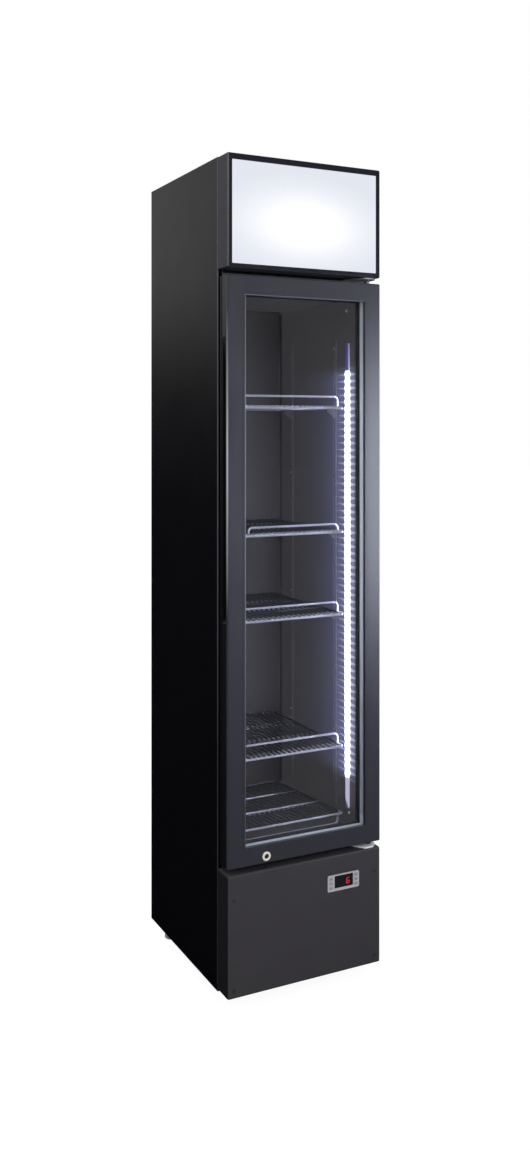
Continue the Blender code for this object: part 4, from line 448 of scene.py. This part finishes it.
def spacer_bar():
    """Satin aluminium between the panes, with a painted reflection of the lit room along its
    middle and sill.
    """
    material, tree, shader = surface("satin_aluminium_spacer", Metallic=0.35)
    level = places(tree)[2]
    # Painted reflection: brighter along the middle, the upper part and the sill
    bright = overlap(tree, add(tree, "MapRange", [level, 0.45, 0.88]),
                     add(tree, "MapRange", [level, 1.42, 1.22]))
    upper = add(tree, "MapRange", [level, 1.0, 1.2, 0.0, 0.4])
    sill = add(tree, "MapRange", [level, 0.352, 0.346, 0.0, 0.4])
    shade = add(tree, "Math", [add(tree, "Math", [bright, upper], operation="MAXIMUM"), sill],
                operation="MAXIMUM")
    bloom = add(tree, "TexNoise", {"Vector": add(tree, "TexCoord").outputs["Object"],
                                   "Scale": 1000 / 6})
    share = overlap(tree, shade, add(tree, "MapRange", [bloom, 0.3, 0.7, 0.94, 1.0]))
    mix = add(tree, "Mix", {"Factor": share, "A": srgb("989bab"), "B": srgb("e2e5f2")},
              data_type="RGBA")
    join(tree, shader, {"Base Color": mix})
    uneven(tree, shader, 0.45, 0.55, 8)
    grain(tree, shader, 0.6, 0.004)
    return material


def zinc_sheet():
    """Hot-dip zinc on steel: grey spangles 12 mm across that differ in tone."""
    material, tree, shader = surface("galvanised_steel_sheet", Metallic=1.0)
    spangles = add(tree, "TexVoronoi", {"Vector": add(tree, "TexCoord").outputs["Object"],
                                        "Scale": 1000 / 12})
    mix = add(tree, "Mix", {"Factor": spangles.outputs["Color"], "A": srgb("8f9396"),
                            "B": srgb("b4b8bb")}, data_type="RGBA")
    join(tree, shader, {"Base Color": mix})
    uneven(tree, shader, 0.38, 0.52, 20)
    grain(tree, shader, 2.0, 0.006)
    return material


def vinyl():
    """Soft black vinyl of the door seal, dull with a little bloom."""
    material, tree, shader = surface("black_soft_vinyl", IOR=1.5, Specular_IOR_Level=0.3)
    tone(tree, shader, "121214", "1a1a1d", 20)
    grain(tree, shader, 1.2, 0.02)
    uneven(tree, shader, 0.60, 0.75, 20)
    return material


def foam_solid():
    """Rigid polyurethane foam: cream, dull and finely pitted."""
    material, tree, shader = surface("rigid_polyurethane_foam", IOR=1.4)
    tone(tree, shader, "d8cca8", "e8dfc4", 10)
    grain(tree, shader, 1.0, 0.2)
    uneven(tree, shader, 0.85, 0.95, 15)
    return material


def smoked_window():
    """Smoked acrylic of the display window: nearly black and glossy."""
    material, tree, shader = surface("smoked_acrylic", IOR=1.49, Specular_IOR_Level=0.3)
    tone(tree, shader, "16181a", "1b1d20", 10)
    uneven(tree, shader, 0.06, 0.10, 12)
    return material


def lit_segment():
    """A lit red segment behind the display window, a little fainter in places 2 mm across."""
    material, tree, shader = surface("lit_red_segment", Roughness=0.5,
                                     Base_Color=srgb("200406"), Emission_Strength=1.0)
    glow = add(tree, "Mix", {"Factor": patches(tree, 2, (1, 1, 1), 2.0), "A": srgb("f8303e"),
                             "B": srgb("f82f3d")}, data_type="RGBA")
    join(tree, shader, {"Emission Color": glow})
    return material


enamel = black_enamel()
coat = charcoal_coat()
profile = frame_profile()
bezel = bezel_black()
liner = liner_plastic(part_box("light_bar_cover"))
glass = clear_glass()
zinc = zinc_sheet()
soft_vinyl = vinyl()
grey_bead = glazing_wedge()
window = smoked_window()
lens = diffuser(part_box("light_bar_cover"))
spacer = spacer_bar()

# Painted reflections: the front rail is bright on its whole width. Over the two bars across,
# thin wires have painted glints, and the rack's own bars wider patches, fainter towards the
# right
front_band = (RING_FRONT, 0.0195, 0.3)
first_glint, second_glint = [(CROSS_BARS[0], 0.006, 0.12), (CROSS_BARS[1], 0.006, 0.10)]
first_bar, second_bar = [(CROSS_BARS[0], 0.012, 0.12), (CROSS_BARS[1], 0.012, 0.10)]
chrome = bright_chrome("chromium_plated_frame", [front_band])
spot_chrome = bright_chrome("chromium_plated_wire", [front_band, first_glint, second_glint])
rack_chrome = bright_chrome("chromium_plated_rack_bars", [front_band, first_bar, second_bar])
# The rack's thin wires keep the dark painted reflection, apart from the first painted glint
dim_chrome = bright_chrome("chromium_plated_rack_wire", [first_glint])

# Rolled sheet: pale grey, with lines along it
aluminium = brushed("mill_aluminium", "b0b2b6", "c9cbd0", 0.32, 0.44)
# Turned rods and screws: bright, with fine lines round them
steel = brushed("turned_steel", "a8a8aa", "c2c2c4", 0.25, 0.35, along=(1, 0.2, 1))
# Drawn tube: warm and satin
copper = brushed("drawn_copper", "9a5a3a", "c07850", 0.28, 0.42, along=(1, 0.1, 1))
# Bezel of the controller: the paint-like grey of filled plastic
case_grey = moulded("silver_grey_abs", "98959b", "a6a3a9", 0.42)
# Keys: softer and duller than the bezel
key_grey = moulded("grey_silicone", "86838a", "908d95", 0.58)
# Drain tray and glazing bead: dark and plain
dark_plastic = moulded("charcoal_abs", "232326", "29292d", 0.40)
# Feet and fan: waxy grey
foot_grey = moulded("grey_polypropylene", "84868b", "909298", 0.50)
# Lacquer on the circuit boards: clean white
white_board = moulded("white_solder_mask", "e6e8ec", "f0f2f5", 0.45)
# Compressor and motor: thick black enamel, half gloss
machine_black = moulded("black_machine_enamel", "111113", "18181b", 0.38)
# Cover screws: coated with the cover, painted a little darker as shade in their recess
coated_screw = moulded("coated_screw_head", "29282c", "302f33", 0.38, 4)
# Marks on the keys: matt dark ink
mark = moulded("dark_key_print", "3c3b40", "46454b", 0.6)
# Lower hinge plate and light bar screws: bright and milky; upper one: the same plate, painted
# darker as shade
plated = satin("bright_zinc_plate", "ececed", "fafafa", 0.30, 0.4)
shaded_plate = satin("shaded_zinc_plate", "98989c", "a8a8ac", 0.60, 0.4)
# Lock ring: warm nickel, brushed soft
ring = satin("cream_nickel_ring", "e9e2cf", "f6f1e2", 0.30, 0.35)

finishes = {
    "left_side_panel": enamel, "right_side_panel": enamel, "top_panel": enamel,
    "rear_grille": enamel, "back_panel": zinc, "compressor_deck": zinc,
    "header_mount_plate": zinc, "base_pan": zinc, "fan_shroud": zinc,
    "inner_liner": liner, "foam_insulation": foam_solid(), "evaporator": aluminium,
    "header_frame": bezel, "header_light_panel": light_panel(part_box("header_light_panel")),
    "header_light_tray": white_board, "header_led_board": white_board,
    "led_driver": aluminium, "door_frame": profile, "outer_glass": glass,
    "inner_glass": glass, "glass_spacer": spacer, "glazing_bead": dark_plastic,
    "door_gasket": soft_vinyl, "hinge_spacer": soft_vinyl, "upper_hinge_plate": shaded_plate,
    "lower_hinge_plate": plated, "lock_body": ring, "lock_plug": steel,
    "lock_cam": steel, "base_cover": coat, "controller_case": case_grey,
    "controller_window": window, "light_bar_channel": aluminium,
    "light_bar_strip": white_board, "light_bar_cover": lens,
    "compressor": machine_black, "fan_motor": machine_black, "condenser": aluminium,
    "fan_blade": foot_grey, "drain_tray": dark_plastic, "filter_drier": copper,
}
# What the other nodes' names start with, the longer starts first
families = (("controller_key", key_grey), ("shelf_support", liner), ("shelf_", chrome),
            ("bottom_rack", dim_chrome), ("foot_", foot_grey))
for name, node in nodes.items():
    material = finishes.get(name)
    if material is None:
        material = next(skin for start, skin in families if name.startswith(start))
    node.data.materials.clear()
    node.data.materials.append(material)


# New pieces

def settle(name, mesh, material, body):
    """An object at the origin with its material, riding on a body."""
    item = bpy.data.objects.new(name, mesh)
    bpy.context.collection.objects.link(item)
    mesh.materials.append(material)
    mesh.shade_smooth()
    mesh.set_sharp_from_angle(angle=math.radians(35))
    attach(item, body)
    return item


def from_bmesh(bm, name):
    """A mesh from a bmesh, with its faces pointing out."""
    bmesh.ops.recalc_face_normals(bm, faces=bm.faces)
    mesh = bpy.data.meshes.new(name)
    bm.to_mesh(mesh)
    bm.free()
    return mesh


def screw_shape(bm, spot, facing, radius, height):
    """A pan head with a recess, seated at a spot and facing along a direction."""
    earlier = set(bm.verts)
    made = bmesh.ops.create_circle(bm, cap_ends=True, segments=24, radius=radius)
    grown = bmesh.ops.extrude_face_region(bm, geom=[made["verts"][0].link_faces[0]])["geom"]
    top = next(item for item in grown if isinstance(item, bmesh.types.BMFace))
    bmesh.ops.translate(bm, vec=(0, 0, height * 0.55), verts=top.verts)
    # Its shoulder, its crown and the recess: how far each steps in, and then up or down
    for share, rise in ((0.18, 0.30), (0.30, 0.15), (0.2, -0.7)):
        bmesh.ops.inset_individual(bm, faces=[top], thickness=radius * share)
        bmesh.ops.translate(bm, vec=(0, 0, height * rise), verts=top.verts)
    turn = Vector((0, 0, 1)).rotation_difference(Vector(facing)).to_matrix().to_4x4()
    bmesh.ops.transform(bm, matrix=Matrix.Translation(spot) @ turn,
                        verts=[vert for vert in bm.verts if vert not in earlier])


def screws(name, spots, facing, radius, height, material, body):
    """Several screw heads as one piece."""
    bm = bmesh.new()
    for spot in spots:
        screw_shape(bm, spot, facing, radius, height)
    return settle(name, from_bmesh(bm, name), material, body)


def wires(name, runs, material, body):
    """Round wires along lines of points, each with its radius, as one mesh."""
    whole = bmesh.new()
    for points, radius, closed in runs:
        curve = bpy.data.curves.new(name + "_line", "CURVE")
        curve.dimensions = "3D"
        curve.bevel_depth = radius
        curve.bevel_resolution = 2
        curve.use_fill_caps = True
        line = curve.splines.new("POLY")
        line.points.add(len(points) - 1)
        for target, point in zip(line.points, points):
            target.co = (*point, 1)
        line.use_cyclic_u = closed
        guide = bpy.data.objects.new(name + "_line", curve)
        bpy.context.collection.objects.link(guide)
        graph = bpy.context.evaluated_depsgraph_get()
        mesh = bpy.data.meshes.new_from_object(guide.evaluated_get(graph))
        whole.from_mesh(mesh)
        bpy.data.objects.remove(guide)
        bpy.data.meshes.remove(mesh)
        bpy.data.curves.remove(curve)
    bmesh.ops.remove_doubles(whole, verts=whole.verts, dist=0.000001)
    return settle(name, from_bmesh(whole, name), material, body)


def bend(point, before, after, radius):
    """Points of a round bend at a corner between two straight runs at right angles."""
    point, before, after = Vector(point), Vector(before), Vector(after)
    first, second = (before - point).normalized(), (after - point).normalized()
    centre = point + (first + second) * radius
    steps = 5
    return [centre - second * radius * math.cos(angle) - first * radius * math.sin(angle)
            for angle in (math.pi / 2 * step / steps for step in range(steps + 1))]


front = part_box("base_cover")[0].y

# Base cover screws, one near each corner
cover_side, cover_levels = 0.166, (0.050, 0.230)
screws("base_cover_screws", [(side * cover_side, front, level) for side in (-1, 1)
                             for level in cover_levels], facing=(0, -1, 0), radius=0.0035,
       height=0.0012, material=coated_screw, body="cabinet")

# Screws of the uprights, four to each, and of the light bar's ends
upright_face, upright_depths = 0.1416, (-0.080, 0.123)
top_screw, screw_pitch = 1.3545, 0.283
for name, side in (("left", 1), ("right", -1)):
    spots = [(-side * upright_face, depth, top_screw - screw_pitch * step)
             for depth in upright_depths for step in range(4)]
    screws("upright_screws_" + name, spots, facing=(side, 0, 0), radius=0.0026,
           height=0.0012, material=steel, body="cabinet")
RIGHT_WALL = 0.1449
screws("light_bar_screws", [(RIGHT_WALL, BAR_Y, 0.337), (RIGHT_WALL, -0.129, 1.434)],
       facing=(-1, 0, 0), radius=0.0032, height=0.0020, material=plated, body="cabinet")

# Display digit and key marks, which stand on the surface by a hair's breadth
HAIR = 0.00002


def bar_shape(bm, centre, length, thickness, depth, slant, spin):
    """A lozenge-ended bar that stands out from the front plane, leaning and turned."""
    half, tip = length / 2, thickness / 2
    verts = []
    for x, z in ((-half + tip, -tip), (half - tip, -tip), (half, 0), (half - tip, tip),
                 (-half + tip, tip), (-half, 0)):
        across = x * math.cos(spin) - z * math.sin(spin)
        up = x * math.sin(spin) + z * math.cos(spin)
        verts.append(bm.verts.new((centre[0] + across + up * slant, centre[1],
                                   centre[2] + up)))
    grown = bmesh.ops.extrude_face_region(bm, geom=[bm.faces.new(verts)])["geom"]
    moved = [item for item in grown if isinstance(item, bmesh.types.BMVert)]
    bmesh.ops.translate(bm, vec=(0, -depth, 0), verts=moved)


def digit_six(centre, width, height, material):
    """A seven-segment 6: every segment but the upper right one."""
    bm = bmesh.new()
    lean, thickness, depth = 0.12, width * 0.2, 0.00015
    side, quarter = width / 2 * 0.84, height / 4
    flat, upright = width * 0.72, height * 0.42
    x, y, z = centre
    for dx, dz, length, spin in ((0, 2 * quarter, flat, 0), (0, 0, flat, 0),
                                 (0, -2 * quarter, flat, 0),
                                 (-side, quarter, upright, math.pi / 2),
                                 (-side, -quarter, upright, math.pi / 2),
                                 (side, -quarter, upright, math.pi / 2)):
        bar_shape(bm, (x + dx + dz * lean, y, z + dz), length, thickness, depth, lean, spin)
    return settle("display_digit", from_bmesh(bm, "display_digit"), material, "cabinet")


low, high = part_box("controller_window")
middle = (low + high) / 2
digit_six((middle.x + 0.0100, low.y + HAIR, middle.z - 0.0012), width=0.0078,
          height=0.0112, material=lit_segment())

# Each key's bars: how far to the right and up, how long, and how they are turned
mark_thickness, mark_depth = 0.0006, 0.00008
upright, diagonal, steep = math.pi / 2, math.pi / 4, math.pi / 3
key_marks = (
    ((0, 0, 0.0034, 0), (0, 0, 0.0034, upright)),
    ((-0.0007, 0, 0.0026, diagonal), (0.0007, 0, 0.0026, -diagonal)),
    ((-0.0007, 0, 0.0026, -diagonal), (0.0007, 0, 0.0026, diagonal)),
    ((0, 0.0009, 0.0032, 0), (0, -0.0009, 0.0032, 0)),
    ((0, 0, 0.0034, steep), (0, 0, 0.0034, -steep), (0, 0, 0.0034, 0)),
    ((0, 0, 0.0030, upright), (0, -0.0012, 0.0022, 0)))
for number, bars in enumerate(key_marks, 1):
    low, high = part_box("controller_key_%d" % number)
    middle = (low + high) / 2
    bm = bmesh.new()
    for dx, dz, length, spin in bars:
        bar_shape(bm, (middle.x + dx, low.y + HAIR, middle.z + dz), length, mark_thickness,
                  mark_depth, 0, spin)
    settle("key_mark_%d" % number, from_bmesh(bm, "key_mark"), mark, "key_%d" % number)

# Round shelf wires in place of the plain ones. The third shelf's fence is lower than the
# others, and stops short of the left end
RING_SIDE, RING_BEND, RING_LIFT, BAR_LEVEL = 0.1255, 0.008, 0.0030, -0.0008
THIN_LEVEL, THIN_PITCH, THIN_TAIL = 0.003365, 0.012, 0.001
FENCE_RIGHT, FENCE_BEND, TALL_FENCE = 0.120, 0.009, 0.025
FENCE_DEPTH = RING_FRONT + 0.016
LINER_FLOOR, CLEARANCE = 0.312, 0.0003
ends = [(-RING_SIDE, RING_FRONT, 0), (RING_SIDE, RING_FRONT, 0), (RING_SIDE, RING_BACK, 0),
        (-RING_SIDE, RING_BACK, 0)]
loop = []
for index, point in enumerate(ends):
    loop += bend(point, ends[index - 1], ends[(index + 1) % 4], RING_BEND)
thin = [([(index * THIN_PITCH, RING_FRONT - THIN_TAIL, THIN_LEVEL),
          (index * THIN_PITCH, RING_BACK + THIN_TAIL, THIN_LEVEL)], THIN_WIRE, False)
        for index in range(-10, 11)]
for name in ("shelf_1", "shelf_2", "shelf_3", "shelf_4", "bottom_rack"):
    flipped = name == "bottom_rack"
    left, tall = (-0.096, 0.016) if name == "shelf_3" else (-FENCE_RIGHT, TALL_FENCE)
    runs = [(loop, RING_WIRE, True)]
    for depth in CROSS_BARS:
        runs.append(([(-RING_SIDE, depth, BAR_LEVEL), (RING_SIDE, depth, BAR_LEVEL)],
                     RING_WIRE, False))
    upper_left, upper_right = [(x, FENCE_DEPTH, tall) for x in (left, FENCE_RIGHT)]
    lower_left, lower_right = [(x, FENCE_DEPTH, THIN_LEVEL) for x in (left, FENCE_RIGHT)]
    fence = [lower_left, *bend(upper_left, lower_left, upper_right, FENCE_BEND),
             *bend(upper_right, upper_left, lower_right, FENCE_BEND), lower_right]
    runs.append((fence, FENCE_WIRE, False))
    skins = (dim_chrome, rack_chrome) if flipped else (spot_chrome, chrome)
    shelf = wires(name + "_wires", thin, skins[0], "cabinet")
    bars = wires(name + "_bars", runs, skins[1], "cabinet")
    if flipped:
        # Turned over, it lies on its fence in front and on its thin wires at the back
        rear_drop = THIN_LEVEL + THIN_WIRE
        tilt = math.atan2(TALL_FENCE + FENCE_WIRE - rear_drop, RING_BACK - FENCE_DEPTH)
        lift = LINER_FLOOR + rear_drop * math.cos(tilt) + CLEARANCE
        turn = (Matrix.Translation((0, RING_BACK, lift))
                @ Matrix.Rotation(-tilt, 4, "X") @ Matrix.Rotation(math.pi, 4, "Y")
                @ Matrix.Translation((0, -RING_BACK, 0)))
    else:
        turn = Matrix.Translation((0, 0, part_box(name)[0].z + RING_LIFT))
    for item in (shelf, bars):
        item.data.transform(turn)
    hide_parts(name)

# One clear lens in place of the bar's channel and cover, turned round its middle line from
# radii and heights. It bulges at each diode, and grows slimmer over as many of the first and
# last diodes as the first number says, by the share that is the second
TAPERED, SLIMMER = 14, 0.14
low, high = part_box("light_bar_cover")
outline = [(0.0, low.z), (0.0034, low.z), (0.0044, low.z + 0.003), (0.0048, FIRST_LIT - 0.002)]
bulges = round((LAST_LIT - FIRST_LIT) / DIODE_PITCH)
for index in range(bulges):
    end_share = max(0, 1 - (bulges - index) / TAPERED, 1 - index / TAPERED)
    slim = 1.0 - SLIMMER * end_share
    for share, radius in ((0.0, 0.0053), (0.22, 0.0062), (0.5, 0.0071), (0.78, 0.0062)):
        outline.append((radius * slim, FIRST_LIT + (index + share) * DIODE_PITCH))
outline += [(0.0046, LAST_LIT), (0.0048, LAST_LIT + 0.002), (0.0042, high.z - 0.002),
            (0.0034, high.z), (0.0, high.z)]
bm = bmesh.new()
verts = [bm.verts.new((radius, 0, level)) for radius, level in outline]
edges = [bm.edges.new(pair) for pair in zip(verts, verts[1:])]
bmesh.ops.spin(bm, geom=verts + edges, cent=(0, 0, 0), axis=(0, 0, 1), angle=math.tau,
               steps=16, use_merge=True)
bmesh.ops.remove_doubles(bm, verts=bm.verts, dist=0.000001)
bmesh.ops.translate(bm, vec=(BAR_X, (low.y + high.y) / 2, 0), verts=bm.verts)
# Its back is flat, just clear of the wall
cut = bmesh.ops.bisect_plane(bm, geom=bm.verts[:] + bm.edges[:] + bm.faces[:],
                             plane_co=(RIGHT_WALL - 0.0002, 0, 0), plane_no=(1, 0, 0),
                             clear_outer=True)
bmesh.ops.holes_fill(bm, edges=[item for item in cut["geom_cut"]
                                if isinstance(item, bmesh.types.BMEdge)], sides=0)
cover = settle("light_bar_lens", from_bmesh(bm, "light_bar_lens"), lens, "cabinet")
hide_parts("light_bar_cover", "light_bar_channel")

# Black foam tape over the slots above and below the liner's flange, from the flange's left end
# to each hinge plate; its black also stands in for the shade in these gaps
tape_left, tape_gap, tape_radius = -0.1685, 0.0005, 0.0021
tape_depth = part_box("foam_insulation")[0].y - 0.0004
runs = []
for level, plate in ((1.4965, "upper_hinge_plate"), (0.2825, "lower_hinge_plate")):
    tape_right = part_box(plate)[0].x - tape_gap
    runs.append(([(tape_left, tape_depth, level), (tape_right, tape_depth, level)],
                 tape_radius, False))
wires("flange_tape_and_gap_shade", runs, soft_vinyl, "cabinet")

# Wedge round the glass opening, black with a painted grey highlight, and the profile's raised
# line outside it
OPENING_SIDE, OPENING_INSET = 0.140, 0.0119
low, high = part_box("outer_glass")
for name, reach, sunk, radius, skin, slot in (
        ("glazing_wedge", 0.0010, 0.0004, 0.0016, grey_bead, "light_grey_plastic"),
        ("profile_line", 0.0064, 0.0002, 0.0006, profile, "charcoal_door_frame")):
    edge, depth = OPENING_SIDE + reach, front + sunk
    bottom, top = low.z + OPENING_INSET - reach, high.z - OPENING_INSET + reach
    line = [(-edge, depth, bottom), (edge, depth, bottom), (edge, depth, top),
            (-edge, depth, top)]
    wires(name, [(line, radius, True)], skin, "door")


# Studio

def picture_rays(tree):
    """1 for rays that show the backdrop to the eye, straight or through the glass."""
    path = add(tree, "LightPath").outputs
    turns = add(tree, "Math", [path["Ray Depth"], path["Transmission Depth"]],
                operation="SUBTRACT")
    direct = add(tree, "Math", [turns, 0.5], operation="LESS_THAN")
    through = overlap(tree, path["Is Transmission Ray"], direct)
    return add(tree, "Math", [path["Is Camera Ray"], through], operation="MAXIMUM")


def mirror_rays(tree):
    """1 for rays that a glossy surface has mirrored, behind glass too."""
    depth = add(tree, "LightPath").outputs["Glossy Depth"]
    return add(tree, "Math", [depth, 0.5], operation="GREATER_THAN")


def studio_floor():
    """A pale floor that keeps a soft shadow; gloss sees it dim, as a low studio floor is."""
    bm = bmesh.new()
    bmesh.ops.create_circle(bm, cap_ends=True, segments=64, radius=30)
    mesh = bpy.data.meshes.new("studio_floor")
    bm.to_mesh(mesh)
    bm.free()
    item = bpy.data.objects.new("studio_floor", mesh)
    bpy.context.collection.objects.link(item)
    material = bpy.data.materials.new("pale_paper_floor")
    material.use_nodes = True
    tree = material.node_tree
    tree.nodes.clear()
    place = add(tree, "TexCoord").outputs["Object"]
    reach = add(tree, "VectorMath", [place], operation="LENGTH")
    dim = add(tree, "Mix", {"Factor": add(tree, "MapRange", [reach, 0.8, 5.5]),
                            "A": srgb("0c0c0e"), "B": srgb("29292c")}, data_type="RGBA")
    hue = add(tree, "Mix", {"Factor": mirror_rays(tree), "A": srgb("f4f4f4"), "B": dim},
              data_type="RGBA")
    paper = add(tree, "BsdfDiffuse", {"Color": hue})
    # To the eye it is plain white, with the paper's own shade for the rest
    plain_share, plain_strength = 0.85, 1.1
    plain = add(tree, "Emission", {"Color": srgb("ffffff"), "Strength": plain_strength})
    seen = overlap(tree, picture_rays(tree), plain_share)
    mix = add(tree, "MixShader", [seen, paper, plain])
    add(tree, "OutputMaterial", {"Surface": mix})
    mesh.materials.append(material)


def studio_sky():
    """White behind the cabinet, a soft even light, and for gloss a bright side at the left."""
    world = bpy.data.worlds.new("studio")
    bpy.context.scene.world = world
    world.use_nodes = True
    tree = world.node_tree
    tree.nodes.clear()
    way = add(tree, "TexCoord").outputs["Generated"]
    _, depth, level = add(tree, "SeparateXYZ", [way]).outputs
    mirrored = overlap(tree, add(tree, "MapRange", [depth, -0.5, 0.3, 0.05, 1.0]),
                       add(tree, "MapRange", [level, 0.034, 0.130, 0.04, 0.54]))
    inner = add(tree, "Math", [add(tree, "LightPath").outputs["Transmission Depth"], 0.5],
                operation="GREATER_THAN")
    # Behind the panes the light is stronger, for what they hold back
    outdoors, indoors = 0.62, 4.2
    soft = add(tree, "Mix", {"Factor": inner, "A": outdoors, "B": indoors},
               data_type="FLOAT")
    plain = add(tree, "Mix", {"Factor": mirror_rays(tree), "A": soft, "B": mirrored},
                data_type="FLOAT")
    power = add(tree, "Mix", {"Factor": picture_rays(tree), "A": plain, "B": 1.0},
                data_type="FLOAT")
    sky = add(tree, "Background", {"Color": srgb("ffffff"), "Strength": power})
    add(tree, "OutputWorld", {"Surface": sky})


# The panes, in which no lamp is mirrored
glass_panes = bpy.data.collections.new("glass_panes")
for name in ("outer_glass", "inner_glass"):
    glass_panes.objects.link(nodes[name])
for entry in glass_panes.collection_objects:
    entry.light_linking.link_state = "EXCLUDE"


def lamp(name, spot, aim, size, power, hue="ffffff", shown=True, spread=180):
    """A soft rectangular lamp that faces a point; clear glass doesn't mirror it."""
    light = bpy.data.lights.new(name, "AREA")
    light.shape = "RECTANGLE"
    light.size, light.size_y = size
    light.energy = power
    light.color = srgb(hue)[:3]
    light.spread = math.radians(spread)
    item = bpy.data.objects.new(name, light)
    bpy.context.collection.objects.link(item)
    item.location = spot
    item.rotation_euler = (Vector(aim) - Vector(spot)).to_track_quat("-Z", "Y").to_euler()
    item.visible_camera = item.visible_transmission = shown
    item.light_linking.receiver_collection = glass_panes


studio_floor()
studio_sky()
lamp("front_lamp", spot=(-0.8, -3.2, 2.6), aim=(0, 0, 0.8), size=(1.6, 1.6), power=60)
# Lights the door's right-hand stile, brightest at its middle
lamp("stile_lamp", spot=(1.25, -1.42, 0.96), aim=(0.16, -0.21, 0.99), size=(0.20, 0.85),
     power=2.35, hue="e6edff", spread=54)
lamp("left_lamp", spot=(-2.6, 0.6, 2.2), aim=(0, 0, 1.0), size=(1.4, 1.4), power=20)
# What the diodes throw across the shelves
lamp("diode_beam", spot=(0.1325, BAR_Y, 0.86), aim=(-0.145, 0.04, 0.86), size=(0.006, 0.90),
     power=1.0, hue="e4e4ff", shown=False)

# The camera, fitted to the photograph: picture height, focal length and horizon in pixels
PHOTO_HIGH, FOCAL, HORIZON = 1150, 1098.3, 426.8
camera = bpy.data.cameras.new("photo_camera")
camera.sensor_fit = "VERTICAL"
camera.sensor_height = 24
camera.lens = 24 * FOCAL / PHOTO_HIGH
camera.shift_y = -(PHOTO_HIGH / 2 - HORIZON) / PHOTO_HIGH
viewer = bpy.data.objects.new("photo_camera", camera)
bpy.context.collection.objects.link(viewer)
viewer.location = (-1.1021, -2.2038, 1.1801)
viewer.rotation_euler = (math.radians(90), 0, math.radians(-26.794))
bpy.context.scene.camera = viewer
bpy.context.scene.view_settings.view_transform = "Standard"
